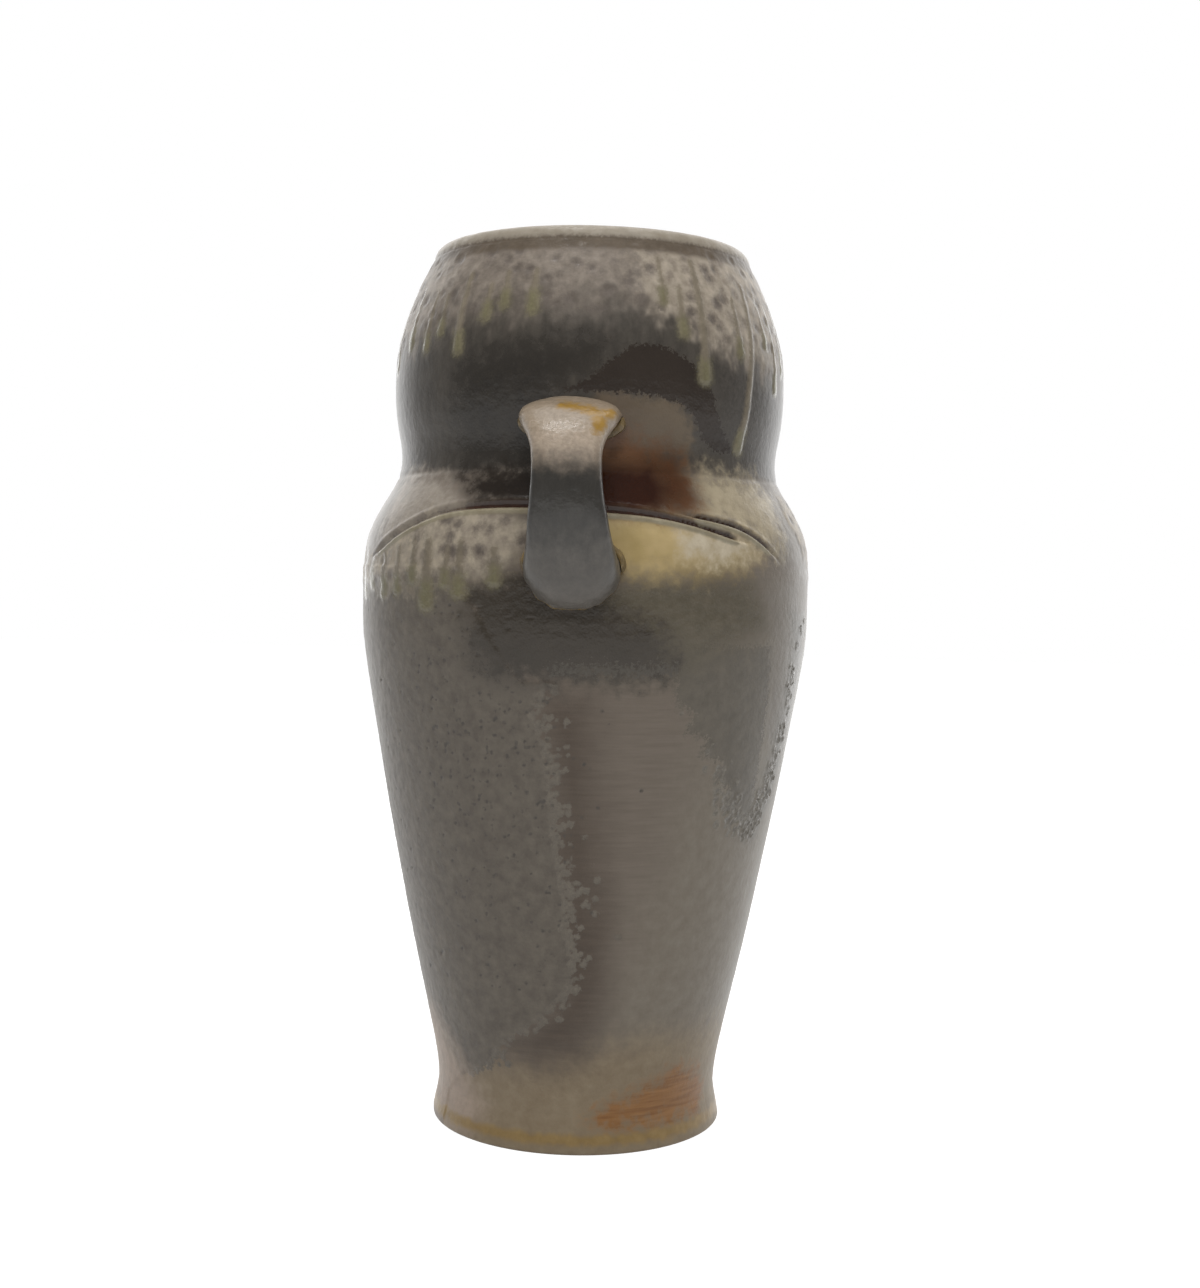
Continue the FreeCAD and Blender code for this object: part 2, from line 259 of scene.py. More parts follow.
class Wall:
    """Angle, height and radius of each vertex of a mesh, in degrees and millimetres."""

    def __init__(self, mesh):
        self.mesh = mesh
        flat = np.empty(3 * len(mesh.vertices), np.float32)
        mesh.vertices.foreach_get("co", flat)
        self.place = flat.reshape(-1, 3).astype(float)
        x, y, z = self.place.T
        self.angle = np.degrees(np.arctan2(x, -y))
        self.height = z / MM
        self.radius = np.hypot(x, y) / MM
        self.depths = {}

    def beside(self, angle):
        """Distance in mm round the wall from an angle, positive to the right of it."""
        return ((self.angle - angle + 180) % 360 - 180) * degree_length

    def inside(self, outline):
        """How deep each vertex lies inside an outline of (angle, height) points, in mm."""
        corners = np.array(outline, float)
        middle = corners[:, 0].mean()
        x, y = self.beside(middle), self.height
        ring = np.column_stack([(corners[:, 0] - middle) * degree_length, corners[:, 1]])
        nearest = np.full(x.shape, endless)
        within = np.zeros(x.shape, bool)
        for (ax, ay), (bx, by) in zip(ring, np.roll(ring, -1, 0)):
            along_x, along_y = bx - ax, by - ay
            share = ((x - ax) * along_x + (y - ay) * along_y) / (along_x ** 2 + along_y ** 2)
            share = np.clip(share, 0, 1)
            nearest = np.minimum(nearest, np.hypot(x - ax - share * along_x, y - ay - share * along_y))
            if ay != by:
                within ^= ((ay > y) != (by > y)) & (x < along_x * (y - ay) / along_y + ax)
        return np.where(within, nearest, -nearest)

    def above(self, edge):
        """How far each vertex lies above an edge that runs round the wall, in mm."""
        angles, heights = np.array(edge, float).T
        return self.height - np.interp(self.angle, angles, heights, period=360)

    def blank(self, value=0.0):
        """One value for every vertex."""
        return np.full(self.radius.shape, value)

    def rumple(self, size, seed):
        """Smooth noise from -1 to 1 whose lumps are about size mm wide."""
        shifted = self.place / (size * MM) + seed
        return np.array([noise.noise(Vector(point)) for point in shifted])

    def near(self, spots):
        """Depth inside the nearest of many round spots of (angle, height, radius), and its radius, in mm."""
        tree = kdtree.KDTree(len(spots))
        for index, (angle, height, _) in enumerate(spots):
            turn = math.radians(angle)
            around = float(outer(height * MM))
            tree.insert((around * math.sin(turn), -around * math.cos(turn), height * MM), index)
        tree.balance()
        found = [tree.find(Vector(point)) for point in self.place]
        gaps = np.array([gap for _, _, gap in found]) / MM
        reach = np.array([spots[index][2] for _, index, _ in found])
        return reach - gaps, reach

    def keep(self, name, depth):
        """Remembers a zone's depth for the materials."""
        self.depths[name] = depth

    def write(self):
        """Stores the moved vertices and the depths in the mesh."""
        self.mesh.vertices.foreach_set("co", self.place.astype(np.float32).ravel())
        for name, depth in self.depths.items():
            layer = self.mesh.attributes.new(name, "FLOAT", "POINT")
            layer.data.foreach_set("value", np.asarray(depth, np.float32))
        self.mesh.update()


def smooth(value, low, high):
    """0 below low, 1 above high and a soft step between."""
    share = np.clip((value - low) / (high - low), 0, 1)
    return share * share * (3 - 2 * share)


print("one degree is", round(math.radians(1) * widest / MM, 2), "mm at the widest place")

# %% [markdown]
# ## The relief of the skin
#
# Each kind of mark has its own short function that returns a height in millimetres. The marks are the
# ones that the photo shows: two carved lines, runs that end in a drop, a crust of ash pitted with dimples
# round the crown and the shoulder, a curtain of beads down the front of the belly, pin-sized pits, a
# horseshoe of broken blisters, and the faint rings that the potter's fingers leave. Behind, where the
# photo doesn't look, the same marks go on.

# %% [markdown]
# The potter drew the two lines with a round tool while the pot turned and the clay was soft. Each is a
# groove with a burr of clay pushed up on both sides. The line is drawn through a few points, smoothed,
# and cut by the distance square to it. It gets shallower towards its ends, and narrower to the right of
# the handle.

# %% Carved lines
long_line = [(-66, 212.3), (-60, 215.5), (-55, 218.6), (-50, 221.6), (-45, 224.6), (-40, 227.2),
             (-35, 229.2), (-30, 230.3), (-20, 231.2), (-10, 231.3), (0, 230.8), (8, 230), (15, 229.4),
             (20, 228.6), (25, 227.5), (30, 226), (35, 224.2), (40, 222.2), (45, 220.4), (49, 219)]
short_line = [(25, 229.4), (30, 228.6), (35, 227.8), (40, 226.6), (44, 225.2), (48, 223), (52, 220),
              (56, 216.4), (60, 212)]
line_depth = 1.2
line_half_width = 1.5
narrowing = 0.28
burr_height = 0.55
burr_width = 0.8
lower_burr_gap, upper_burr_gap = 0.7, 0.6
edge_half_width = 1.1
dry_loss, dry_start, dry_end = 2.2, 16, 44
line_points = 240
line_smoothing = 60
unmarked = -9.0


def line_gap(wall, line, fade):
    """Distance in mm square to a carved line, positive above it, and how fully it is cut there."""
    angles, heights = np.array(line, float).T
    fine = np.linspace(angles[0], angles[-1], line_points)
    path = np.interp(fine, angles, heights)
    for _ in range(line_smoothing):
        path[1:-1] = (path[:-2] + 2 * path[1:-1] + path[2:]) / 4
    slope = np.gradient(path, fine * degree_length)
    lean = np.interp(wall.angle, fine, np.hypot(1, slope))
    gap = (wall.height - np.interp(wall.angle, fine, path)) / lean
    cut = smooth(wall.angle, angles[0], angles[0] + fade)
    cut = cut * smooth(-wall.angle, -angles[-1], fade - angles[-1])
    return gap, cut


def carved(wall):
    """The two lines drawn round the shoulder with a round tool, and the clay that it pushed up."""
    height, depth, edge = wall.blank(), wall.blank(unmarked), wall.blank(unmarked)
    for line, fade, width_share in ((long_line, 9, 1), (short_line, 8, 0.85)):
        gap, cut = line_gap(wall, line, fade)
        half_width = line_half_width * width_share * (0.4 + 0.6 * cut)
        half_width = half_width * (1 - narrowing * smooth(wall.angle, 5, 30))
        height -= line_depth * cut * smooth(half_width - np.abs(gap), -0.1, half_width)
        below, above = gap + half_width + lower_burr_gap, gap - half_width - upper_burr_gap
        height += burr_height * cut * np.exp(-(below / burr_width) ** 2)
        height += 0.5 * burr_height * cut * np.exp(-(above / burr_width) ** 2)
        depth = np.maximum(depth, half_width - np.abs(gap) - 4 * (1 - cut))
        edge = np.maximum(edge, edge_half_width - np.abs(below) - 4 * (1 - cut))
    wall.keep("groove", depth - dry_loss * smooth(-wall.angle, dry_start, dry_end))
    wall.keep("groove_edge", edge)
    return height


print("carved lines", line_depth, "mm deep and", 2 * line_half_width, "mm wide")

# %% [markdown]
# Where ash melts thickly it runs. A run starts as a thin ridge, swells on its way down and stops in a
# round drop where the kiln got too cool for it. Its sides come from the distance to a line, and smooth
# noise makes it sway.

# %% Runs of glaze
# Each run: angle, height of its start, height of its tip, width, how far it stands proud and, where it leans,
# how far its tip strays to the left
front_runs = [(-36, 312, 286, 4.5, 0.6), (-27, 308, 297, 3.5, 0.45), (-22, 312, 301, 3.5, 0.45),
              (-13, 312, 299, 4.5, 0.4), (-44, 306, 293, 3.2, 0.4), (-50, 308, 288, 3.4, 0.4),
              (30, 308, 292, 3.8, 0.45), (36.5, 318, 277, 4.6, 0.6), (24.5, 318, 303, 3.0, 0.45),
              (50, 306, 287, 3.6, 0.45), (57.5, 312, 254, 4.6, 0.65, 7), (70, 306, 277, 4.2, 0.5),
              (64, 310, 292, 3.0, 0.4), (78, 312, 285, 4.2, 0.5), (-60, 310, 290, 4.0, 0.4),
              (-72, 312, 283, 4.0, 0.45)]
shoulder_runs = [(-55, 214, 200, 4.2, 0.55), (-48, 216, 201, 3.6, 0.45), (-42, 218, 205, 3.4, 0.4),
                 (-37, 218, 197, 5.6, 0.65), (-31, 216, 204, 3.2, 0.4), (-27, 218, 201, 4.2, 0.5),
                 (-18, 216, 205, 3.6, 0.4), (-63, 212, 203, 3.8, 0.45), (-70, 214, 200, 4.2, 0.5)]
run_count_behind = 30
# On the crown and on the shoulder behind: height of the start, and the highest and the lowest tip
crown_behind, shoulder_behind = (312, 299, 268), (220, 208, 193)
run_reach = 12
run_margin = 6
sway_width = 1.1
dice_seed = 11
dice = random.Random(dice_seed)


def runs_behind():
    """Runs on the far side, spread evenly with some play, on the crown and on the shoulder."""
    runs = []
    for place in range(run_count_behind):
        angle = 88 + 180 * (place + dice.uniform(-0.35, 0.35)) / run_count_behind
        places = [crown_behind, shoulder_behind] if place % 2 else [crown_behind]
        for start, highest_tip, lowest_tip in places:
            tip = dice.uniform(lowest_tip, highest_tip)
            runs.append((angle, start, tip, dice.uniform(3, 5), dice.uniform(0.35, 0.6)))
    return runs


all_runs = front_runs + shoulder_runs + runs_behind()
print(len(all_runs), "runs")


def ran(wall):
    """Runs that start thin, swell downwards and end in a drop."""
    height, depth, tip_depth = wall.blank(), wall.blank(unmarked), wall.blank(unmarked)
    sway = sway_width * wall.rumple(14, 5.1)
    for angle, start, tip, width, proud, *lean in all_runs:
        close = np.abs(wall.beside(angle)) < run_reach
        close &= (wall.height < start + run_margin) & (wall.height > tip - run_margin)
        if not close.any():
            continue
        fall = np.clip((start - wall.height[close]) / (start - tip), 0, 1)
        beyond = wall.height[close] - np.clip(wall.height[close], tip, start)
        aside = wall.beside(angle)[close] + (sway[close] + sum(lean)) * fall
        drop = np.exp(-(np.maximum(wall.height[close] - tip, 0) / (1.1 * width)) ** 2)
        reach = 0.5 * width * (0.55 + 0.25 * fall + 0.3 * drop)
        gap = np.hypot(aside, beyond)
        swell = np.clip(1 - (gap / reach) ** 2, 0, 1)
        lift = 0.8 * proud * (0.25 + 0.75 * fall) * swell * (2 - swell)
        height[close] = np.maximum(height[close], lift)
        depth[close] = np.maximum(depth[close], reach - gap)
        in_drop = np.minimum(reach - gap, 1.3 * width - (wall.height[close] - tip))
        tip_depth[close] = np.maximum(tip_depth[close], in_drop)
    wall.keep("run", depth)
    wall.keep("tip", tip_depth)
    return height


# %% [markdown]
# Ash that falls on the crown and the shoulder melts into a crust. Gas that escaped through it left
# dimples about 6 mm apart. Voronoi noise has exactly that form: cells with a middle, where the dimple is,
# and a web between them. It is worked out only for the vertices in the crust, because it is slow.

# %% Crust and dimples
# The lower edge of the crown's crust, and the lower and upper edge of the shoulder's crust
crown_edge = [(-180, 291), (-150, 286), (-120, 293), (-90, 284), (-76, 286), (-64, 291), (-52, 292),
              (-45, 296), (-38, 298), (-30, 299), (-20, 300), (-8, 301), (0, 300), (8, 301), (16, 302),
              (22, 302), (28, 298), (34, 296), (40, 290), (46, 288), (52, 286), (60, 284), (70, 281),
              (80, 284), (100, 292), (130, 286), (160, 293)]
shoulder_low_edge = [(-180, 206), (-150, 200), (-120, 207), (-90, 203), (-70, 203), (-50, 205), (-36, 206),
                     (-22, 207), (-12, 212), (-6, 216), (0, 240), (30, 240), (64, 240), (76, 214),
                     (90, 204), (120, 200), (150, 207)]
shoulder_high_edge = [(-180, 242), (-90, 238), (-74, 212), (-60, 215), (-50, 221), (-40, 226), (-30, 229),
                      (-8, 226), (0, 214), (30, 214), (62, 214), (72, 238), (90, 240)]
dimple_pitch = 6.2
dimple_share = 0.34
dimple_depth = 0.42
crust_height = 0.25
web_height = 0.16
print("crust on the crown down to", min(height for _, height in crown_edge), "mm")


def crusted(wall):
    """Ash that settled from above: a raised web between dimples, on the crown and on the shoulder."""
    crown = wall.above(crown_edge)
    shoulder = np.minimum(wall.above(shoulder_low_edge), -wall.above(shoulder_high_edge))
    ragged = 2.2 * wall.rumple(7, 2.7) + 1.2 * wall.rumple(3, 8.3)
    crust = np.maximum(crown, shoulder) + ragged
    wall.keep("crown_crust", crown + ragged)
    wall.keep("shoulder_crust", shoulder + ragged)
    dimple = wall.blank(-1.0)
    share = dimple_share + 0.16 * wall.rumple(15, 5.7)
    height = wall.blank()
    for index in np.nonzero(crust > -3)[0]:
        gaps, _ = noise.voronoi(Vector(wall.place[index] / (dimple_pitch * MM)))
        dimple[index] = share[index] - gaps[0]
        height[index] = web_height * min(1, 2.2 * (gaps[1] - gaps[0]))
    height -= dimple_depth * smooth(dimple, -0.12, 0.22)
    wall.keep("dimple", dimple * dimple_pitch)
    return (crust_height + height) * smooth(crust, -2, 3)


# %% [markdown]
# Vapour leaves a grey skin on the belly's left. It ends on the front in a curtain of beads, and some
# beads stand loose beyond it. Pits as fine as pin pricks go through it. On the right the glaze boiled: a
# horseshoe of broken blisters, each a low rim round a crater. All three are thousands of round spots, so
# they are scattered with seeded dice, and a search tree finds the nearest spot for each vertex.

# %% Scatter beads, pits and blisters
# The edge of the grey skin, as (height, angle) from the foot up. It covers the wall to the left of this edge
curtain = [(14, -60), (22, -48), (30, -31), (36, -27), (42, -21), (48, -12), (54, -6), (60, -1), (68, 2),
           (76, 1), (84, -1), (92, 0), (100, -1.5), (110, -2.5), (120, -4), (130, -4.5), (140, -5),
           (150, -6), (160, -9), (172, -6)]
curtain_top = 171
# The skin's top steps down towards the handle, between these two angles and heights
curtain_top_angles, curtain_tops = (-30, -12), (210, curtain_top)
curtain_back = [(14, -170), (60, -150), (110, -165), (172, -155)]
bead_count, pit_count, blister_count = 430, 560, 210
skin_height = 0.3
pit_depth = 0.38
blister_rim, blister_crater = 0.36, 0.3
blister_path = [(24, 176), (27, 171), (29, 163), (31, 157), (34, 151), (39, 145), (43, 138), (45, 132),
                (49, 125), (54, 120), (60, 116), (64, 119), (66, 126), (68, 134), (70, 146), (72, 160),
                (72, 176), (73, 192)]


def bead_spots():
    """Beads scattered to the right of the grey skin's edge, thinning out with the distance."""
    spots = []
    heights, angles = np.array(curtain, float).T
    for _ in range(bead_count):
        height = dice.uniform(24, curtain_top)
        stray = dice.expovariate(0.42)
        angle = float(np.interp(height, heights, angles)) + (stray - 0.9) / degree_length
        spots.append((angle, height, dice.uniform(0.7, 1.5)))
    return spots


def pit_spots():
    """Pits of the grey skin, most of them between the handle's plane and the left side."""
    spots = []
    for _ in range(pit_count):
        angle = dice.choice((dice.gauss(-24, 14), dice.uniform(-150, -4)))
        height = dice.choice((dice.gauss(145, 24), dice.uniform(60, 196)))
        spots.append((angle, height, dice.uniform(0.3, 0.7)))
    return spots


def blister_spots():
    """Broken blisters along the horseshoe on the right, close together at its foot."""
    spots = []
    for _ in range(blister_count):
        place = dice.choice((dice.gauss(0.5, 0.12), dice.uniform(0.45, 0.999))) * (len(blister_path) - 1)
        first = int(place)
        share = place - first
        (a0, h0), (a1, h1) = blister_path[first], blister_path[min(first + 1, len(blister_path) - 1)]
        angle = a0 + (a1 - a0) * share + dice.gauss(0, 2.2)
        height = h0 + (h1 - h0) * share + dice.gauss(0, 2.4)
        spots.append((angle, height, dice.uniform(0.6, 1.6)))
    return spots


beads = bead_spots()
pits = pit_spots()
blisters = blister_spots()
print(len(beads), "beads,", len(pits), "pits and", len(blisters), "blisters")


# %% [markdown]
# The skin is a thin sheet with the beads merged into its edge. Each spot's own size scales its mark: a pit
# is a small cup, and a blister a rim round a crater. The same depths are kept for the colours, so that a
# pit is dark and a blister pale exactly where the mesh has them.

# %% Raise beads, pits and blisters
def beaded(wall):
    """The grey skin with its scalloped edge, its loose beads and its pits."""
    heights, angles = np.array(curtain, float).T
    edge = np.interp(wall.height, heights, angles)
    back_heights, back_angles = np.array(curtain_back, float).T
    back = np.interp(wall.height, back_heights, back_angles)
    back += 16 * wall.rumple(30, 4.8) + 4 * wall.rumple(7, 2.1)
    sheet = np.minimum(edge - wall.angle, wall.angle - back) * degree_length
    top = np.interp(wall.angle, curtain_top_angles, curtain_tops)
    sheet = np.minimum(sheet, top - wall.height) + 0.8 * wall.rumple(4, 1.3)
    bead, _ = wall.near(beads)
    bead = np.where(wall.height < curtain_top, bead, unmarked)
    pit, pit_size = wall.near(pits)
    wall.keep("sheet", np.maximum(sheet, bead))
    wall.keep("pit", pit)
    wall.keep("bead", bead - 0.3)
    height = (skin_height + 0.09 * wall.rumple(2.4, 9.9)) * smooth(np.maximum(sheet, bead), -0.2, 0.9)
    return height - pit_depth * smooth(pit / pit_size, -0.2, 0.8)


def blistered(wall):
    """The horseshoe of broken blisters: low rims round shallow craters."""
    spot, size = wall.near(blisters)
    share = spot / size
    wall.keep("blister", spot)
    rim = np.exp(-((share - 0.05) / 0.3) ** 2)
    return blister_rim * rim - blister_crater * smooth(share, 0.2, 0.8)


print("skin", skin_height, "mm thick, pits", pit_depth, "mm deep, blister rims", blister_rim, "mm high")

# %% [markdown]
# A thrown wall is never a pure curve: it wobbles a little, and the fingers leave faint rings. A crease
# under the waist shows where the upper section was joined on. All the marks are then added up and the
# vertices move square to the wall. At the widest place the wall sits half a millimetre in, so that no
# mark goes past the CAD's box.

# %% Throwing rings and the whole relief
ring_pitch = 5.6
ring_depth = 0.012
wobble = 0.16
waist_crease = 243.6
crease_depth = 0.32
shoulder_room = 0.5
widest_height = 200
widest_spread = 17
edge_room = 0.02 * MM


def thrown(wall):
    """Rings left by the fingers, a slow wobble and the crease pressed in below the waist."""
    drift = 2.4 * wall.rumple(60, 3.9)
    height = ring_depth * np.sin(math.tau * (wall.height + drift) / ring_pitch + 0.01 * wall.angle)
    height += wobble * wall.rumple(34, 7.7) + 0.04 * wall.rumple(5, 6.1)
    return height - crease_depth * np.exp(-(wall.height - waist_crease - 0.4 * drift) ** 2)


def raised(wall, on_skin):
    """Moves the skin's vertices square to the wall by the sum of all the relief."""
    inset = -shoulder_room * np.exp(-((wall.height - widest_height) / widest_spread) ** 2)
    marks = carved(wall) + ran(wall) + crusted(wall) + beaded(wall) + blistered(wall) + thrown(wall)
    marks = (marks + inset) * on_skin
    slope = np.interp(wall.height * MM, wall_z, np.gradient(wall_r, wall_z))
    length = np.hypot(1, slope)
    outward = wall.place / (wall.radius[:, None] * MM + tiny)
    wall.place[:, :2] += outward[:, :2] * (marks / length * MM)[:, None]
    wall.place[:, 2] -= marks * slope / length * MM
    reach = np.hypot(wall.place[:, 0], wall.place[:, 1])
    limit = np.minimum(1, (widest - edge_room) / np.maximum(reach, tiny))
    wall.place[:, :2] *= limit[:, None]


print("rings", ring_pitch, "mm apart, crease at", waist_crease, "mm")

# %% [markdown]
# Inside, where no rib smooths the wall, the rings of the fingers stay deeper. They show through the
# mouth.

# %% Rings inside
finger_pitch = 9.5
finger_depth = 0.35


def finger_rings(wall, on_inside):
    """Deeper finger rings on the inside, where the potter doesn't smooth them away."""
    drift = 2 * wall.rumple(50, 4.4)
    height = finger_depth * np.sin(math.tau * (wall.height + drift) / finger_pitch + 0.017 * wall.angle)
    height *= on_inside * smooth(wall.height, 26, 40)
    outward = wall.place[:, :2] / (wall.radius[:, None] * MM + tiny)
    wall.place[:, :2] += outward * (height * MM)[:, None]


print("finger rings", finger_pitch, "mm apart and", finger_depth, "mm high")

# %% [markdown]
# ## Glaze zones
#
# These outlines say where each colour lies. They are drawn on the unrolled wall, as (angle,
# height). The material gives each its edge, so a handful of points is enough.

# %% Outline the zones
zones = {
    # Painted shade: the belly's brown is darker in a band down its front middle
    "front_painted_shade": [(-8, 168), (-4, 130), (-4, 84), (-4, 60), (-14, 46), (-24, 38), (-10, 32), (4, 38),
                    (12, 54), (12, 84), (9, 120), (5, 168)],
    # Painted light: the belly's warm brown gets paler towards its right side
    "right_painted_light": [(14, 26), (17, 60), (26, 100), (34, 140), (48, 180), (56, 204), (100, 200), (120, 120),
                   (100, 26)],
    "dark_slick": [(-26, 204), (-24, 176), (-18, 172), (-6, 171), (10, 171.5), (24, 172), (27, 178),
                   (22, 190), (10, 199), (-6, 208), (-16, 208)],
    "olive_slick": [(-2, 204), (2, 174), (24, 172.5), (30, 176), (44, 184), (56, 190), (50, 202), (46, 208),
                    (20, 209)],
    "olive_tongue": [(22, 184), (26, 171), (27, 163), (32, 161), (30, 154), (37, 152), (35, 146), (43, 143),
                     (41, 137), (47, 133), (45, 127), (51, 122), (56, 117), (60, 124), (59, 150),
                     (57, 184)],
    "pale_panel": [(52, 206), (54, 192), (57, 178), (59, 164), (62, 150), (70, 146), (71, 170), (70, 206)],
    "olive_edge": [(66, 196), (67, 160), (64, 134), (56, 116), (66, 112), (74, 130), (78, 160), (78, 196)],
    "chalk": [(-3, 176.5), (-3, 174.5), (8, 174), (24, 174), (26, 177), (14, 177)],
    "cream": [(4, 231), (4, 210), (14, 208.5), (28, 208.5), (42, 211), (50, 216), (47, 220.5), (38, 223),
              (28, 227), (18, 229.5)],
    "cream_pale": [(26, 227), (27, 214), (36, 212), (46, 215), (50, 219), (38, 223)],
    "left_shoulder": [(-62, 243.5), (-44, 242), (-34, 236), (-28, 230), (-40, 226), (-56, 217), (-60, 218)],
    "left_haze": [(-104, 243), (-60, 243), (-56, 218), (-70, 209), (-104, 210)],
    "right_shoulder": [(31, 243), (33, 234), (31, 229), (40, 226), (50, 222), (58, 216), (62, 222),
                       (64, 236), (60, 243)],
    "right_haze": [(58, 240), (60, 216), (70, 209), (108, 212), (108, 242)],
    "below_line": [(-74, 210), (-64, 212), (-50, 220), (-38, 227), (-28, 229.5), (-8, 229.5), (-8, 214),
                   (-20, 206), (-40, 200), (-70, 200)],
    # Painted shade: the bulb's glaze is darker on its front
    "bulb_painted_shade": [(-34, 243), (-38, 262), (-34, 280), (-20, 287), (0, 289), (8, 288), (9, 284), (2, 277),
                   (-4, 270), (4, 262), (6, 243)],
    "crown_right": [(16, 323), (17, 310), (24, 300), (36, 292), (60, 286), (88, 292), (88, 323)],
    "crown_left": [(-88, 323), (-88, 292), (-62, 293), (-50, 300), (-42, 323)],
    "mountain": [(-3, 270.5), (4, 275), (8, 280), (12, 283), (15, 286.5), (20, 287), (25, 286), (30, 283),
                 (34, 280), (37, 275), (40, 270), (42, 264), (46, 257), (50, 252), (42, 252), (37, 256),
                 (33, 264), (28, 268), (18, 270)],
    "grey_patch": [(6, 270), (18, 270), (28, 267.5), (32, 263), (34, 256), (32, 249), (20, 248), (8, 250)],
    "rust_brown": [(4, 262), (12, 258), (20, 252), (26, 251), (30, 247), (33, 234), (30, 229), (4, 229)],
    "rust_deep": [(2, 245.5), (21, 245), (25, 238), (22, 230), (2, 229)],
    "rust_orange": [(19, 248), (28, 249), (33, 243), (33, 235), (28, 229.5), (20, 231), (22, 239)],
    "left_brown": [(-34, 241), (-22, 243.6), (-2, 243.6), (-2, 231), (-26, 231)],
    "pitted_grey": [(38, 292), (44, 296), (60, 292), (68, 270), (62, 250), (48, 248), (44, 262), (40, 274)],
    "foot_rust": [(8, 12), (22, 8.5), (45, 8.5), (62, 9), (66, 17), (60, 25), (44, 28), (28, 22), (14, 16)],
    "foot_pink": [(-150, 26), (-110, 40), (-64, 44), (-48, 28), (-36, 12), (-42, 1), (-150, 1)],
    "back_flash": [(112, 120), (118, 60), (150, 40), (178, 66), (186, 128), (170, 176), (134, 170)],
    "back_rust": [(138, 244), (150, 238), (186, 236), (200, 244), (190, 262), (160, 266), (142, 256)],
}
warm_height, warm_rise = 32, 10
line_height, half_line = 5.2, 1.8
collar_low, collar_high, rim_height = 320.5, 326, 325.6
print(len(zones), "outlined zones")


def zoned(wall):
    """Stores how deep each vertex lies in each outlined zone, and in those that go right round."""
    for name, outline in zones.items():
        wall.keep(name, wall.inside(outline))
    wall.keep("bulb_ground", wall.height - waist_crease)
    wall.keep("foot_warmth", warm_height + warm_rise * smooth(wall.angle, -15, 30) - wall.height)
    wall.keep("foot_line", half_line - np.abs(wall.height - line_height))
    # Painted shadow: a darker band under the rim
    wall.keep("collar_painted_shadow", np.minimum(wall.height - collar_low, collar_high - wall.height))
    # The rim's pale glaze, with a painted highlight
    wall.keep("rim", wall.height - rim_height)


# %% [markdown]
# ## The vessel's skins
#
# Each skin is a closed ring of wall: the measured outside with all its relief, the inside with its finger
# rings, and two flat ends where it meets its neighbour. Faces are sorted afterwards by where they look:
# glaze outside, liner inside and bare clay underneath.

# %% Make the walls
cuts = {"shoulder": 190 * MM, "belly": 97 * MM}
outside_slot, inside_slot, bare_slot = 0, 1, 2
sharp_angle = math.radians(50)


def finish_piece(name, mesh, replaced, materials):
    """Puts a mesh in the scene as a piece that rides on the vessel, and hides the CAD nodes that it replaces."""
    mesh.polygons.foreach_set("use_smooth", [True] * len(mesh.polygons))
    mesh.set_sharp_from_angle(angle=sharp_angle)
    for material in materials:
        mesh.materials.append(material)
    piece = bpy.data.objects.new(name, mesh)
    bpy.context.scene.collection.objects.link(piece)
    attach(piece, "root")
    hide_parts(*replaced)
    mesh.calc_loop_triangles()
    print(name, len(mesh.loop_triangles), "triangles")
    return piece


def sort_faces(mesh, choose):
    """Gives each face the material that its middle calls for."""
    middles = np.empty(3 * len(mesh.polygons), np.float32)
    mesh.polygons.foreach_get("center", middles)
    x, y, z = middles.reshape(-1, 3).T
    mesh.polygons.foreach_set("material_index", choose(np.hypot(x, y), z).astype(np.int32))


def wall_sides(radius, height):
    """Outside, inside or bare material, by which face of the wall a point is nearer to."""
    middle = (outer(height) + inner(height)) / 2
    sides = np.where(radius > middle, outside_slot, inside_slot)
    return np.where(height < levels["ankle"] - weld, bare_slot, sides)


def ring_of_wall(name, low, high, pitch=row_pitch):
    """Mesh of the wall from one height to another, with its relief and its zones."""
    outside = wall_points(low, high, outer, pitch)
    inside = wall_points(low, high, inner, inside_pitch)
    mesh = spun(name, outside + inside[::-1])
    dress_wall(mesh)
    return mesh


def dress_wall(mesh):
    """Raises the relief on a wall mesh, stores its zones and sorts its faces."""
    wall = Wall(mesh)
    middle = (outer(wall.height * MM) + inner(wall.height * MM)) / 2 / MM
    on_skin = ((wall.radius > middle) & (wall.height * MM > levels["ankle"] - weld)).astype(float)
    zoned(wall)
    raised(wall, on_skin)
    finger_rings(wall, 1 - on_skin)
    wall.write()
    sort_faces(mesh, wall_sides)


shoulder_mesh = ring_of_wall("shoulder_skin", cuts["shoulder"], levels["waist"], carved_row_pitch)
belly_mesh = ring_of_wall("belly_skin", cuts["belly"], cuts["shoulder"])
bulb_mesh = ring_of_wall("bulb_skin", levels["waist"], levels["crown"])

# %% [markdown]
# The lowest ring also has the floor. It is one outline from the middle of the underside, round the spigot
# that sits in the foot ring, up the outside, down the inside and back to the middle, so the spin closes
# it.

# %% Close the belly's foot
floor_points = 14
floor_start_share = 0.97
probe_step = 2 * MM
to_axis, from_axis = Vector((0, -1, 0)), Vector((0, 1, 0))
spigot_radius = belly_tree.ray_cast(Vector((0, far, recess_level + probe_step)), to_axis)[0].y
floor_start = inside_z[0]


def floor_outline():
    """Half section of the lowest ring: underside, spigot, wall, inside wall and floor."""
    under = [(spigot_radius * share, recess_level) for share in np.linspace(0, 1, floor_points)]
    under += [(spigot_radius, levels["ankle"])]
    outside = wall_points(levels["ankle"], cuts["belly"], outer, row_pitch)
    inside = wall_points(floor_start, cuts["belly"], inner, inside_pitch)[::-1]
    edge = inside[-1][0]
    floor = [(edge * share, floor_level) for share in np.linspace(floor_start_share, 0, floor_points)]
    return under + outside + inside + floor


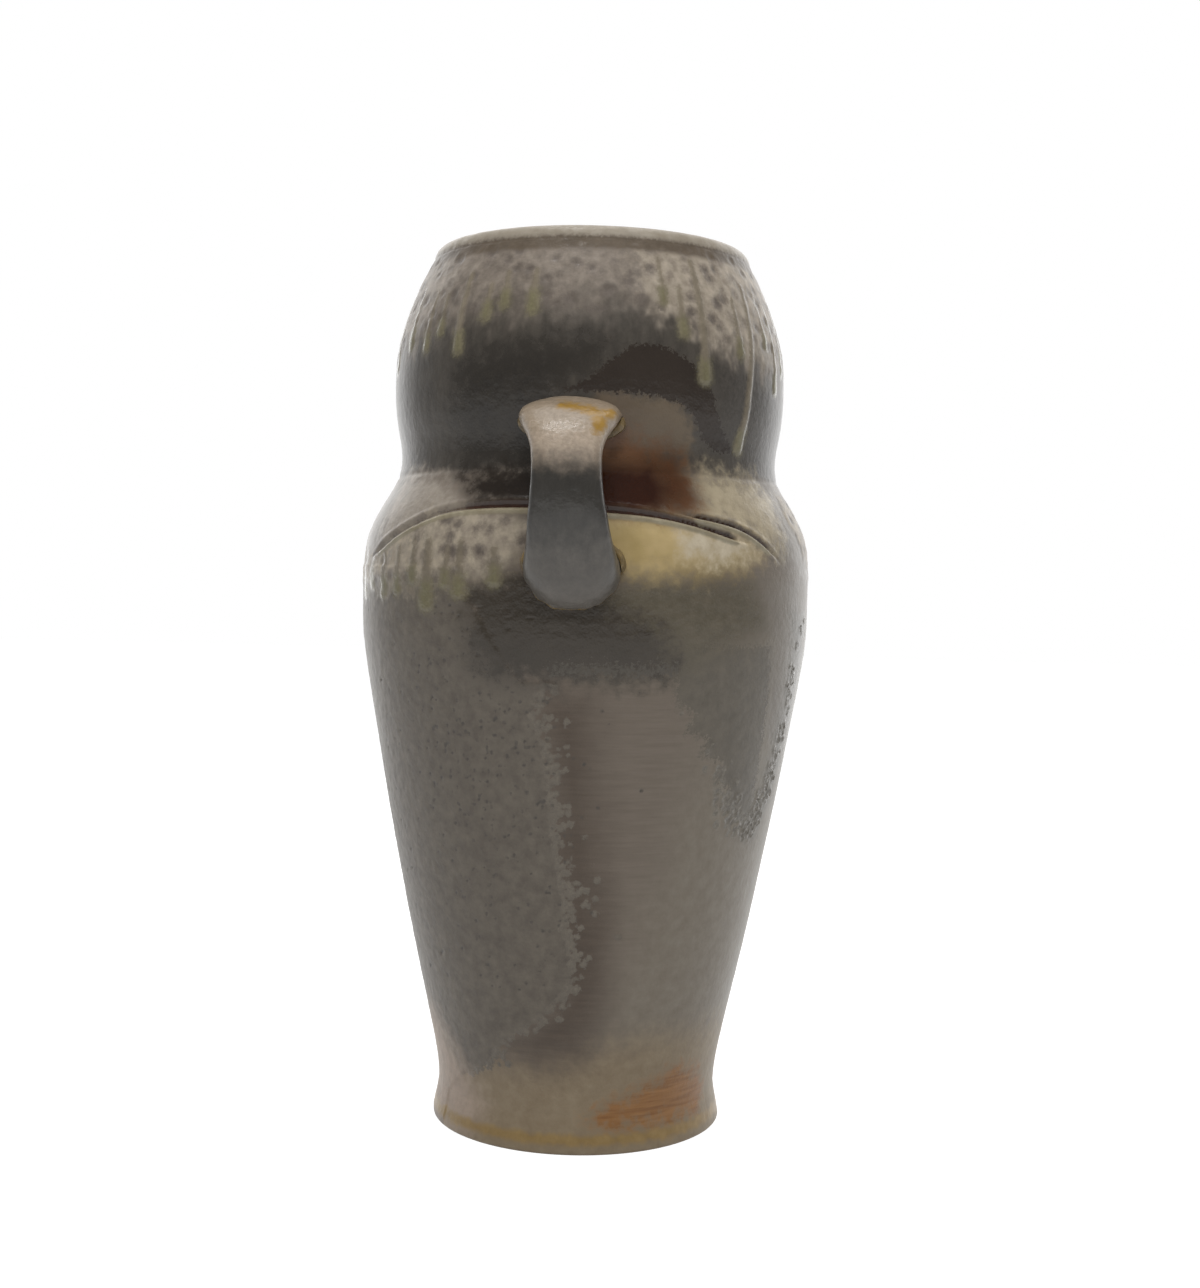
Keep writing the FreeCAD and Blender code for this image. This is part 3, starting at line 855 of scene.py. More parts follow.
foot_wall_mesh = spun("belly_foot_skin", floor_outline(), closed=False)
dress_wall(foot_wall_mesh)
print("spigot", round(spigot_radius / MM, 1), "mm in radius, underside", round(recess_level / MM, 1), "mm up")

# %% [markdown]
# ## Foot and lip
#
# Both are small turned rings. The foot flares out to a soft edge, has a turned recess underneath and
# stands on a flat, wiped ring of bare clay. The lip has an upright face, a rounded rim and, like all
# thrown rims, a slight wave that keeps it from looking like a machined part.

# %% Turn the foot ring
foot_bevel = 0.9 * MM
foot_pitch = 0.6 * MM
wiped_low, wiped_high = 0.6, 3
spigot_room = 1 * MM
foot_tree = ray_tree("foot_ring")
foot_heights = sampled(levels["ground"] + foot_bevel, levels["ankle"])
foot_radii = eased(np.array(measure(foot_tree, foot_heights, True)))
ledge_radius = foot_tree.ray_cast(Vector((0, 0, recess_level - probe_step)), from_axis)[0].y


def foot_profile(height):
    """Outside radius of the foot ring at a height."""
    return np.interp(height, foot_heights, foot_radii)


def foot_outline():
    """Half section of the foot ring, from its top edge down the outside and up the recess."""
    outside = wall_points(levels["ground"] + foot_bevel, levels["ankle"], foot_profile, foot_pitch)[::-1]
    outside[0] = (float(outer(levels["ankle"])), levels["ankle"])
    edge = outside[-1][0]
    bevel = [(edge - foot_bevel * (1 - math.cos(turn)), foot_bevel * (1 - math.sin(turn)))
             for turn in np.radians((25, 50, 75, 90))]
    width = bevel[-1][0] - ledge_radius
    ring = [(bevel[-1][0] - width * share, levels["ground"]) for share in (0.25, 0.5, 0.75, 0.93)]
    recess = [(ledge_radius, levels["ground"] + foot_bevel), (ledge_radius, recess_level),
              (spigot_radius, recess_level), (spigot_radius, levels["ankle"])]
    return outside + bevel + ring + recess


def foot_sides(radius, height):
    """Bare clay on the standing ring and in the recess, glaze elsewhere."""
    return np.where((height < 0.4 * foot_bevel) | (radius < spigot_radius), bare_slot, outside_slot)


foot_mesh = spun("foot_ring_skin", foot_outline())
sort_faces(foot_mesh, foot_sides)
foot_wall = Wall(foot_mesh)
zoned(foot_wall)
above_ring = smooth(foot_wall.height, wiped_low, wiped_high)
above_ring = above_ring * (foot_wall.radius * MM > spigot_radius + spigot_room)
raised(foot_wall, above_ring)
foot_wall.write()

# %% [markdown]
# The lip's outline goes from its seat on the bulb up the face, over the rim in two rounds, a wide outer and a
# tight inner one, and down the throat. The wave is laid on after the glaze's relief, and only above the seat,
# so the lip still meets the bulb.

# %% Turn the lip
seat_step = 1 * MM
lip_tree = ray_tree("lip")
lip_outer = lip_tree.ray_cast(Vector((0, far, levels["crown"] + seat_step)), to_axis)[0].y
lip_inner = lip_tree.ray_cast(Vector((0, 0, levels["crown"] + seat_step)), from_axis)[0].y
outer_round = 4.5 * MM
inner_round = lip_outer - lip_inner - outer_round
rim_middle = lip_outer - outer_round
liner_edge = rim_middle - 0.95 * inner_round
crease_in, crease_up = 0.25 * MM, 0.6 * MM
face_in, face_up = 0.1 * MM, 1.4 * MM
rim_wave = 0.16
worn_share, worn_low, worn_high = 0.7, 324.5, 328


def lip_outline():
    """Half section of the lip, from its outer seat up over the rim and down into the mouth."""
    seat = float(outer(levels["crown"]))
    start = levels["top"] - outer_round
    face = [(seat, levels["crown"]), (seat - crease_in, levels["crown"] + crease_up),
            (lip_outer - face_in, levels["crown"] + face_up)]
    over = [(rim_middle + outer_round * math.cos(turn), start + outer_round * math.sin(turn))
            for turn in np.radians(np.linspace(8, 90, 12))]
    into = [(rim_middle - inner_round * math.sin(turn), levels["top"] - inner_round * (1 - math.cos(turn)))
            for turn in np.radians(np.linspace(15, 90, 6))]
    throat_top = levels["top"] - 1.3 * inner_round
    throat = [(lip_inner, height) for height in np.linspace(throat_top, levels["crown"], 4)]
    seat_rows = [(lip_inner + (seat - lip_inner) * share, levels["crown"]) for share in (0.33, 0.66)]
    return face + over + into + throat + seat_rows


def lip_sides(radius, height):
    """Glaze on the face and over the rim, liner in the throat."""
    return np.where(radius > liner_edge, outside_slot, inside_slot)


lip_mesh = spun("lip_skin", lip_outline())
sort_faces(lip_mesh, lip_sides)
lip_wall = Wall(lip_mesh)
zoned(lip_wall)
lip_middle = (lip_outer + lip_inner) / 2 / MM
worn = worn_share * smooth(lip_wall.height, worn_low, worn_high)
raised(lip_wall, (lip_wall.radius > lip_middle) * (1 - worn))
above_seat = smooth(lip_wall.height - levels["crown"] / MM, 0.2, 2)
wave = rim_wave * (lip_wall.rumple(30, 2.2) - 1) + 0.05 * lip_wall.rumple(4, 3.3)
lip_wall.place[:, :2] *= (1 + above_seat * wave / lip_wall.radius)[:, None]
lip_wall.place[:, 2] += above_seat * (0.14 * lip_wall.rumple(45, 1.8) - rim_wave) * MM
lip_wall.write()
print("foot", len(foot_mesh.polygons), "faces, lip", len(lip_mesh.polygons), "faces")

# %% [markdown]
# ## The handle
#
# The strap was pulled from a lump of clay, bent and pressed on at both ends, with a pad of clay smoothed
# into each corner. Its CAD solid already has that form. A merged copy of it is remeshed into small even
# squares, softened, sunk a little into the glaze that it is pressed on, and given the lumps that fingers
# leave.

# %% Remesh the strap and its pads
strap_voxel, strap_softening, strap_lumps = 0.55 * MM, 5, 0.22
pad_voxel, pad_softening, pad_lumps = 0.45 * MM, 2, 0.15
root_sink = 2.5 * MM
torn_height, torn_depth = 222, 0.9
# Heights in mm of the strap's band of painted shade, its lower end of painted bounce light, its pale top,
# partly painted light, its root and its gold edges
band_low, band_high = 217, 252
fringe_high, pale_lit_top_low, root_low, gold_high = 203, 245.5, 256, 224
gold_reach = 1.6
flow_height, flow_half_height, flow_half_width = 262.3, 1.5, 9.5
trickle_height, trickle_aside, trickle_radius = 257.5, 9.5, 2.4


def even_copy(name, node, voxel, softening):
    """Even, softened mesh of a merged copy of a CAD node."""
    shell = bmesh.new()
    shell.from_mesh(nodes[node].data)
    bmesh.ops.remove_doubles(shell, verts=shell.verts, dist=weld)
    mesh = bpy.data.meshes.new(name + "_start")
    shell.to_mesh(mesh)
    shell.free()
    lump = bpy.data.objects.new(name + "_start", mesh)
    bpy.context.scene.collection.objects.link(lump)
    remesh = lump.modifiers.new("even", "REMESH")
    remesh.mode = "VOXEL"
    remesh.voxel_size = voxel
    graph = bpy.context.evaluated_depsgraph_get()
    even = bpy.data.meshes.new_from_object(lump.evaluated_get(graph))
    bpy.data.objects.remove(lump)
    shell = bmesh.new()
    shell.from_mesh(even)
    for _ in range(softening):
        bmesh.ops.smooth_vert(shell, verts=shell.verts, factor=0.5, use_axis_x=True, use_axis_y=True,
                              use_axis_z=True)
    shell.to_mesh(even)
    shell.free()
    even.name = name
    return even


def kneaded(wall, lump_height):
    """Pushes a handle piece in and out along its normals, and sinks its root into the wall."""
    normals = np.empty(3 * len(wall.mesh.vertices), np.float32)
    wall.mesh.vertices.foreach_get("normal", normals)
    normals = normals.reshape(-1, 3)
    lumps = lump_height * wall.rumple(9, 3.1) + 0.35 * lump_height * wall.rumple(3.2, 6.6)
    gap = wall.radius - outer(wall.height * MM) / MM
    torn = smooth(-gap, -4, -0.5) * smooth(torn_height - wall.height, 0, 6)
    lumps += torn_depth * torn * wall.rumple(4, 2.9)
    wall.place += normals * (lumps * MM)[:, None]
    sink = root_sink * smooth(-gap, -1.1, 0)
    wall.place[:, :2] -= wall.place[:, :2] / (wall.radius[:, None] * MM) * sink[:, None]
    wall.place[:, 1] = np.maximum(wall.place[:, 1], cad_box[0][1])


def handle_zones(wall):
    """Zones of the strap, by height, by distance from its middle and by distance from the wall, in mm."""
    rise, aside = wall.height, wall.place[:, 0] / MM
    gap = wall.radius - outer(rise * MM) / MM
    # Painted shade: a darker band where the strap faces forward
    wall.keep("painted_shade_band", np.minimum(rise - band_low, band_high - rise))
    # Painted bounce light: the strap's lower end is paler
    wall.keep("painted_bounce_fringe", fringe_high - rise)
    # Pale ash on the top, and painted light from above
    wall.keep("cream_and_lit_top", rise - pale_lit_top_low)
    wall.keep("root_top", rise - root_low)
    flow = flow_half_height - np.abs(rise - flow_height + 0.2 * (aside - 4))
    flow = np.minimum(flow, flow_half_width - np.abs(aside - 5))
    trickle = trickle_radius - np.hypot(aside - trickle_aside, 0.7 * (rise - trickle_height))
    wall.keep("pool", np.maximum(flow, trickle))
    wall.keep("gold_edge", np.minimum(gold_reach - gap, gold_high - rise))


strap_mesh = even_copy("handle_strap_skin", "handle_strap", strap_voxel, strap_softening)
strap = Wall(strap_mesh)
handle_zones(strap)
kneaded(strap, strap_lumps)
strap.write()
pad_meshes = {}
for pad in ("handle_top_coil", "handle_bottom_coil"):
    pad_meshes[pad] = even_copy(pad + "_skin", pad, pad_voxel, pad_softening)
    pad_wall = Wall(pad_meshes[pad])
    kneaded(pad_wall, pad_lumps)
    pad_wall.write()
print("strap", len(strap_mesh.polygons), "faces")

# %% [markdown]
# ## The coil inside the waist
#
# Where the two thrown sections meet, the potter presses a thin coil over the joint from the inside and
# smears it with a fingertip. It only shows through the mouth, as a low ring with a row of dents.

# %% Turn the waist coil
coil_tree = ray_tree("waist_coil")
coil_low, coil_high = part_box("waist_coil")[0].z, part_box("waist_coil")[1].z
coil_end = 0.4 * MM
coil_points = 13
coil_steps = 16
coil_bite = 1 * MM
dent_count = 34
dent_depth = 0.35


def coil_outline():
    """Half section of the coil: its bulging face and the back that lies on the wall."""
    heights = np.linspace(coil_low + coil_end, coil_high - coil_end, coil_points)
    face = list(zip(measure(coil_tree, heights, False), heights))
    back = [(float(inner(height)) + coil_bite, float(height)) for height in heights[::-3]]
    return face + back


coil_mesh = spun("waist_coil_skin", coil_outline(), steps=coil_steps)
coil = Wall(coil_mesh)
proud = smooth(inner(coil.height * MM) / MM - coil.radius, 0, 1.5)
dents = dent_depth * (1 + np.cos(np.radians(dent_count * coil.angle))) + 0.3 * coil.rumple(12, 4.2)
coil.place[:, :2] *= (1 + proud * dents / coil.radius)[:, None]
coil.write()
print("coil from", round(coil_low / MM, 1), "to", round(coil_high / MM, 1), "mm, with", dent_count, "dents")

# %% [markdown]
# ## Colours, and one way to add a node
#
# Colours are written as sRGB hex codes, as a painter's swatch would be, and one function makes them
# linear. Another adds a node, sets it and wires its inputs. Patterns are given by the real size of their
# grain.

# %% Helpers for materials
# What the noise of a texture node mostly runs between
noise_low, noise_high = 0.28, 0.72


def colour(code):
    """Linear colour of an sRGB hex code."""
    shares = [int(code[place:place + 2], 16) / 255 for place in (1, 3, 5)]
    return [share / 12.92 if share <= 0.04045 else ((share + 0.055) / 1.055) ** 2.4 for share in shares] + [1]


def add(tree, kind, inputs=None, **settings):
    """Adds a node with its settings, and feeds its inputs from sockets or with plain values."""
    node = tree.nodes.new(kind)
    for name, value in settings.items():
        setattr(node, name, value)
    for name, source in (inputs or {}).items():
        if isinstance(source, bpy.types.NodeSocket):
            tree.links.new(source, node.inputs[name])
        else:
            node.inputs[name].default_value = source
    return node


def grains(tree, sizes, place):
    """Noise of each named grain size in mm, centred on zero and running from about -1 to 1."""
    found = {}
    for name, (size, detail, squeeze) in sizes.items():
        spot = add(tree, "ShaderNodeMapping", {"Vector": place, "Scale": (1, 1, squeeze)})
        lumps = add(tree, "ShaderNodeTexNoise", {"Vector": spot.outputs[0], "Scale": 1 / (size * MM),
                                                 "Detail": detail, "Roughness": 0.6})
        centred = add(tree, "ShaderNodeMapRange",
                      {0: lumps.outputs[0], 1: noise_low, 2: noise_high, 3: -1.0, 4: 1.0})
        found[name] = centred.outputs[0]
    return found


def mottled(tree, grain, pale, dark):
    """Colour that a grain moves between a pale and a dark one."""
    share = add(tree, "ShaderNodeMath", {0: grain, 1: 0.5, 2: 0.5}, operation="MULTIPLY_ADD")
    mix = add(tree, "ShaderNodeMix", {0: share.outputs[0], 6: colour(dark), 7: colour(pale)},
              data_type="RGBA")
    return mix.outputs[2]


def layered(tree, grain, base, layers):
    """Colour and roughness of a glaze, painted zone over zone.

    The base is its pale and dark colours, its roughness and the grain that mottles it. A layer is its zone,
    how soft and how ragged its edge is in mm, the grain that breaks its edge, the grain that mottles it, its
    pale and dark colours and its roughness."""
    pale, dark, roughness, mottle = base
    shade = mottled(tree, grain[mottle], pale, dark)
    for zone, soft, ragged, breaker, mottle, pale, dark, rough in layers:
        depth = add(tree, "ShaderNodeAttribute", attribute_name=zone)
        edge = add(tree, "ShaderNodeMath", {0: grain[breaker], 1: float(ragged), 2: depth.outputs["Fac"]},
                   operation="MULTIPLY_ADD")
        mask = add(tree, "ShaderNodeMapRange", {0: edge.outputs[0], 1: -float(soft), 2: float(soft)},
                   interpolation_type="SMOOTHSTEP").outputs[0]
        paint = mottled(tree, grain[mottle], pale, dark)
        laid = add(tree, "ShaderNodeMix", {0: mask, 6: shade, 7: paint}, data_type="RGBA")
        gloss = add(tree, "ShaderNodeMix", {0: mask, 2: roughness, 3: rough}, data_type="FLOAT")
        shade, roughness = laid.outputs[2], gloss.outputs[0]
    return shade, roughness


def bumped(tree, heights):
    """Fine relief from several (height, depth in mm) pairs."""
    normal = None
    for height, depth in heights:
        inputs = {"Height": height, "Distance": depth * MM, "Strength": 1.0}
        if normal:
            inputs["Normal"] = normal
        normal = add(tree, "ShaderNodeBump", inputs).outputs[0]
    return normal


def new_material(name):
    """An empty node material, its tree and its object coordinates."""
    material = bpy.data.materials.new(name)
    material.use_nodes = True
    tree = material.node_tree
    tree.nodes.clear()
    return material, tree, add(tree, "ShaderNodeTexCoord").outputs["Object"]


def surfaced(tree, looks):
    """Ends a material's tree with its shader and its output."""
    shader = add(tree, "ShaderNodeBsdfPrincipled", looks)
    add(tree, "ShaderNodeOutputMaterial", {"Surface": shader.outputs[0]})


# %% [markdown]
# ## Wood-fired ash glaze
#
# Stoneware fired for days in a wood kiln gets its glaze from the flame: ash lands on the shoulders, melts
# and runs, salt-like vapour beads on the sides, and bare places flash rust and orange. It is glass over
# clay, so it is not metallic, its IOR is near 1.5, and its roughness changes from satin crust to
# wet-looking runs. The layers below follow the order in which the kiln laid them: body, vapour skin,
# flashes, ash, runs. A few layers paint light and shade into the colour: painted shade down the front of
# the belly and on the front of the bulb, painted light towards the belly's right side, a band of painted
# shadow under the rim, and a painted highlight over the rim's pale glaze.

# %% Glaze of the wall
# Each grain: its size in mm, its detail, and how many times it is finer upwards than round the wall
glaze_grains = {"fine": (1.3, 3, 1), "middle": (4.5, 4, 1), "broad": (24, 3, 1), "drip": (3.2, 3, 0.35),
                "ring": (16, 2, 11), "lobe": (6, 2, 0.55)}
glaze_base = ("#857a6e", "#7a6f63", 0.4, "ring")
# Each layer: its zone, how soft and how ragged its edge is in mm, the grain that breaks the edge, the grain
# that mottles it, its pale and dark colours, and its roughness
glaze_layers = [
    # Painted light: paler towards the right side of the belly
    ("right_painted_light", 18, 6, "broad", "middle", "#938a7c", "#83796b", 0.36),
    ("foot_warmth", 10, 4, "middle", "middle", "#a19179", "#8f7e66", 0.42),
    # Painted shade: darker down the front middle of the belly
    ("front_painted_shade", 12, 4, "broad", "ring", "#5d5044", "#52463b", 0.38),
    ("back_flash", 16, 8, "broad", "middle", "#7b6e62", "#6d5c4e", 0.4),
    ("sheet", 0.4, 0.7, "fine", "middle", "#7d7569", "#635b52", 0.42),
    ("bead", 0.4, 0.2, "fine", "fine", "#807769", "#70685d", 0.22),
    ("pit", 0.4, 0.25, "fine", "fine", "#57514a", "#47423b", 0.3),
    ("olive_tongue", 1.6, 2.2, "fine", "middle", "#776f62", "#645d51", 0.24),
    ("olive_slick", 8, 4, "middle", "middle", "#746b5b", "#605949", 0.26),
    ("dark_slick", 6, 5, "middle", "broad", "#4e463c", "#3d362d", 0.22),
    ("pale_panel", 3.5, 3, "middle", "broad", "#8a8175", "#7c7368", 0.34),
    ("olive_edge", 5, 5, "middle", "middle", "#6d6658", "#5c5548", 0.32),
    ("blister", 0.6, 0.5, "fine", "fine", "#958e81", "#6d665b", 0.16),
    ("chalk", 1.5, 3.4, "fine", "fine", "#645f57", "#56514a", 0.45),
    ("bulb_ground", 2, 1.2, "broad", "drip", "#5b554d", "#48433d", 0.32),
    # Painted shade: darker on the front of the bulb
    ("bulb_painted_shade", 9, 7, "middle", "middle", "#413c36", "#34302c", 0.24),
    ("pitted_grey", 6, 5, "middle", "fine", "#57514a", "#45403a", 0.35),
    ("left_haze", 7, 5, "middle", "middle", "#887e71", "#797064", 0.3),
    ("left_shoulder", 5, 4, "middle", "middle", "#b2a799", "#958a7d", 0.3),
    ("below_line", 4, 4, "middle", "middle", "#9a8f7d", "#7a7063", 0.34),
    ("right_haze", 7, 5, "middle", "middle", "#887e71", "#797064", 0.3),
    ("right_shoulder", 7, 5, "middle", "middle", "#c2b498", "#a6987f", 0.2),
    ("cream", 7, 2.5, "middle", "broad", "#e2c997", "#b09963", 0.2),
    ("cream_pale", 5, 3, "middle", "middle", "#e0d3ba", "#c0b092", 0.2),
    ("grey_patch", 3, 3, "middle", "broad", "#786a58", "#695b4b", 0.28),
    ("mountain", 0.7, 1.6, "fine", "broad", "#403730", "#342c26", 0.24),
    ("rust_brown", 6, 4, "middle", "middle", "#825e42", "#65462e", 0.28),
    ("back_rust", 8, 7, "middle", "middle", "#6c4a34", "#513625", 0.28),
    ("rust_orange", 9, 2.5, "middle", "middle", "#56341c", "#3e2510", 0.28),
    ("rust_deep", 4, 0.9, "middle", "broad", "#3d1a06", "#2b1104", 0.2),
    ("left_brown", 5, 3, "middle", "middle", "#2f261e", "#241d17", 0.22),
    ("crown_crust", 12, 6, "lobe", "middle", "#a4988b", "#7a7065", 0.42),
    ("crown_right", 7, 7, "lobe", "middle", "#c5b8a6", "#968a7b", 0.42),
    ("crown_left", 7, 7, "lobe", "middle", "#bbb0a3", "#8f8479", 0.42),
    ("shoulder_crust", 4, 4, "lobe", "middle", "#c8bba5", "#988c7f", 0.42),
    ("dimple", 2.1, 0.8, "fine", "middle", "#7b7168", "#665d55", 0.32),
    ("run", 1.3, 0.5, "fine", "middle", "#958a78", "#807665", 0.16),
    ("tip", 2.6, 0.8, "fine", "fine", "#8b8568", "#7b7458", 0.14),
    ("groove", 0.8, 0.15, "fine", "middle", "#4a3226", "#35231b", 0.12),
    ("groove_edge", 0.5, 0.15, "fine", "middle", "#b0a68e", "#978c74", 0.1),
    ("foot_pink", 12, 2, "middle", "middle", "#c2af9e", "#ad9b8b", 0.46),
    ("foot_rust", 5, 5, "middle", "ring", "#a87a4a", "#875c33", 0.36),
    ("foot_line", 1.4, 1.0, "middle", "middle", "#a98e5f", "#94794b", 0.3),
    # Painted shadow: the band under the rim is darker
    ("collar_painted_shadow", 1.2, 0.8, "middle", "middle", "#746758", "#63584b", 0.36),
    # Pale glaze with a painted highlight over the rim
    ("rim", 0.9, 0.6, "fine", "middle", "#b5ab9c", "#a09584", 0.34),
]


peel_size, peel_depth = 2.4, 0.16
grit_size, grit_depth = 0.8, 0.05
glass_ior = 1.5
ash_specular = 0.35
liner_grains = {"fine": (1.6, 3, 1), "broad": (16, 3, 0.4)}
liner_smoothest, liner_roughest, liner_bump = 0.3, 0.46, 0.05
clay_grains = {"grog": (1.1, 2, 1), "broad": (18, 3, 1)}
speck_start, speck_full = 0.55, 0.8
clay_roughness, clay_bump = 0.8, 0.08


def wood_fired_glaze():
    """Ash and vapour glaze of the outside, zone over zone."""
    material, tree, place = new_material("wood_fired_ash_glaze")
    shade, roughness = layered(tree, grains(tree, glaze_grains, place), glaze_base, glaze_layers)
    peel = add(tree, "ShaderNodeTexNoise", {"Vector": place, "Scale": 1 / (peel_size * MM), "Detail": 2.0})
    grit = add(tree, "ShaderNodeTexNoise", {"Vector": place, "Scale": 1 / (grit_size * MM), "Detail": 2.0})
    normal = bumped(tree, [(peel.outputs[0], peel_depth), (grit.outputs[0], grit_depth)])
    surfaced(tree, {"Base Color": shade, "Roughness": roughness, "Normal": normal, "IOR": glass_ior,
                    "Specular IOR Level": ash_specular})
    return material


def liner_glaze():
    """Thin dark liner: iron-bearing slip glaze, satin, mottled between brown and dark brown."""
    material, tree, place = new_material("iron_liner_glaze")
    grain = grains(tree, liner_grains, place)
    shade = mottled(tree, grain["broad"], "#5c4a3b", "#3b2e25")
    rough = add(tree, "ShaderNodeMapRange",
                {0: grain["fine"], 1: -1.0, 2: 1.0, 3: liner_smoothest, 4: liner_roughest})
    normal = bumped(tree, [(grain["fine"], liner_bump)])
    surfaced(tree, {"Base Color": shade, "Roughness": rough.outputs[0], "Normal": normal, "IOR": glass_ior})
    return material


def bare_stoneware():
    """Bare fired clay under the foot: matt, toasted orange-brown, with grog specks about 1 mm wide."""
    material, tree, place = new_material("bare_fired_stoneware")
    grain = grains(tree, clay_grains, place)
    body = mottled(tree, grain["broad"], "#a98a68", "#8a6a4c")
    specks = add(tree, "ShaderNodeMapRange", {0: grain["grog"], 1: speck_start, 2: speck_full})
    shade = add(tree, "ShaderNodeMix", {0: specks.outputs[0], 6: body, 7: colour("#5d4633")},
                data_type="RGBA")
    normal = bumped(tree, [(grain["grog"], clay_bump)])
    surfaced(tree, {"Base Color": shade.outputs[2], "Roughness": clay_roughness, "Normal": normal})
    return material


print(len(glaze_layers), "layers of glaze on the wall")

# %% [markdown]
# The strap carries a satin glaze of its own. Its shading is painted into it too: painted shade on the
# band that faces forward, painted light from above on its pale top and painted bounce light on its lower
# end. The pads have only a thin golden-brown film, because the glaze ran off them.

# %% Glaze of the handle
strap_layers = [
    # Painted shade on the band that faces forward
    ("painted_shade_band", 9, 4, "middle", "drip", "#423f3a", "#383531", 0.3),
    # Painted bounce light on the lower end
    ("painted_bounce_fringe", 4, 1.5, "middle", "middle", "#807a72", "#6e6861", 0.34),
    # Cream glaze with painted light from above
    ("cream_and_lit_top", 7.5, 2, "middle", "fine", "#c2b09b", "#a69583", 0.3),
    ("root_top", 4, 2, "middle", "fine", "#ad9b86", "#968671", 0.26),
    ("pool", 1.2, 1.0, "middle", "middle", "#b08a42", "#977534", 0.1),
    ("gold_edge", 0.8, 0.8, "fine", "middle", "#b0935c", "#977c48", 0.25),
]
strap_base = ("#6e6962", "#5d5953", 0.32, "drip")
strap_grains = {"fine": (1.5, 3, 1), "middle": (4, 3, 1), "drip": (2.2, 3, 0.2)}
strap_middle_bump, strap_fine_bump = 0.05, 0.03
pad_grains = {"fine": (1.2, 3, 1), "middle": (3.5, 3, 1)}
pad_roughness, pad_bump = 0.28, 0.05


def strap_glaze():
    """Satin glaze of the strap: pale and pooled at its root, grey below, gold where it meets the wall. Its
    colour holds painted shade on its forward band and painted light on its top and its lower end.
    """
    material, tree, place = new_material("satin_strap_glaze")
    grain = grains(tree, strap_grains, place)
    shade, roughness = layered(tree, grain, strap_base, strap_layers)
    normal = bumped(tree, [(grain["middle"], strap_middle_bump), (grain["fine"], strap_fine_bump)])
    surfaced(tree, {"Base Color": shade, "Roughness": roughness, "Normal": normal, "IOR": glass_ior})
    return material


def pad_glaze():
    """Glaze of the pads: thin and golden brown, because it ran off them."""
    material, tree, place = new_material("thin_pad_glaze")
    grain = grains(tree, pad_grains, place)
    shade = mottled(tree, grain["middle"], "#9c8457", "#5f523c")
    normal = bumped(tree, [(grain["fine"], pad_bump)])
    surfaced(tree, {"Base Color": shade, "Roughness": pad_roughness, "Normal": normal})
    return material


print(len(strap_layers), "layers of glaze on the strap")

# %% [markdown]
# Each skin becomes a piece that rides on the vessel's one body and hides the CAD node that it replaces.
# The belly's three rings all replace the belly.

# %% Put the pieces in the scene
outside, liner, bare = wood_fired_glaze(), liner_glaze(), bare_stoneware()
wall_materials = [outside, liner, bare]
finish_piece("belly_foot_skin", foot_wall_mesh, ["belly"], wall_materials)
finish_piece("belly_skin", belly_mesh, ["belly"], wall_materials)
finish_piece("shoulder_skin", shoulder_mesh, ["belly"], wall_materials)
finish_piece("bulb_skin", bulb_mesh, ["bulb"], wall_materials)
finish_piece("lip_skin", lip_mesh, ["lip"], wall_materials)
finish_piece("foot_ring_skin", foot_mesh, ["foot_ring"], wall_materials)
finish_piece("waist_coil_skin", coil_mesh, ["waist_coil"], [liner])
finish_piece("handle_strap_skin", strap_mesh, ["handle_strap"], [strap_glaze()])
thin_glaze = pad_glaze()
for pad, mesh in pad_meshes.items():
    finish_piece(pad + "_skin", mesh, [pad], [thin_glaze])

# %% [markdown]
# ## Light, floor and backdrop
#
# The photo was taken against a white sweep lit from behind: the vessel's middle is dim, its edges glow
# and its glaze mirrors the sweep. Two tall soft lights stand behind the vessel on either side, a third
# hangs over its back, a broad one high in front fills it without a mirror image, and a small window
# overhead gives the glints.

# %% Light the vessel
side_power, top_power, front_power, window_power = 3.5, 2.0, 8.8, 1.3
front_fill, back_fill = 0.26, 1.0


def softbox(name, azimuth, distance, height, size, power):
    """Soft light that stands at an azimuth round the vessel and looks at its middle."""
    lamp = bpy.data.lights.new(name, "AREA")
    lamp.shape = "RECTANGLE"
    lamp.size, lamp.size_y = size
    lamp.energy = power
    light = bpy.data.objects.new(name, lamp)
    bpy.context.scene.collection.objects.link(light)
    turn = math.radians(azimuth)
    place = Vector((distance * math.sin(turn), -distance * math.cos(turn), height))
    aim = Vector((0, 0, 0.5 * levels["top"])) - place
    light.matrix_world = Matrix.Translation(place) @ aim.to_track_quat("-Z", "Y").to_matrix().to_4x4()
    return light


# Each light: its name, azimuth in degrees, distance, height and two sides in metres, and power in watts
softbox("left_softbox", -148, 1.0, 0.30, (0.8, 1.4), side_power)
softbox("right_softbox", 148, 1.0, 0.30, (0.8, 1.4), side_power)
softbox("top_softbox", 180, 0.25, 1.2, (0.7, 0.7), top_power)
softbox("front_softbox", 8, 0.9, 1.25, (1.2, 0.8), front_power).visible_glossy = False
softbox("window", -40, 0.22, 1.3, (0.14, 0.14), window_power)
print(len(bpy.data.lights), "lights")

# %% [markdown]
# The world is a bright sweep behind and a dim room in front, and it looks plain white to the camera. The
# floor glows a little for the eye, so it is as white as the sweep, and keeps the contact shadow.

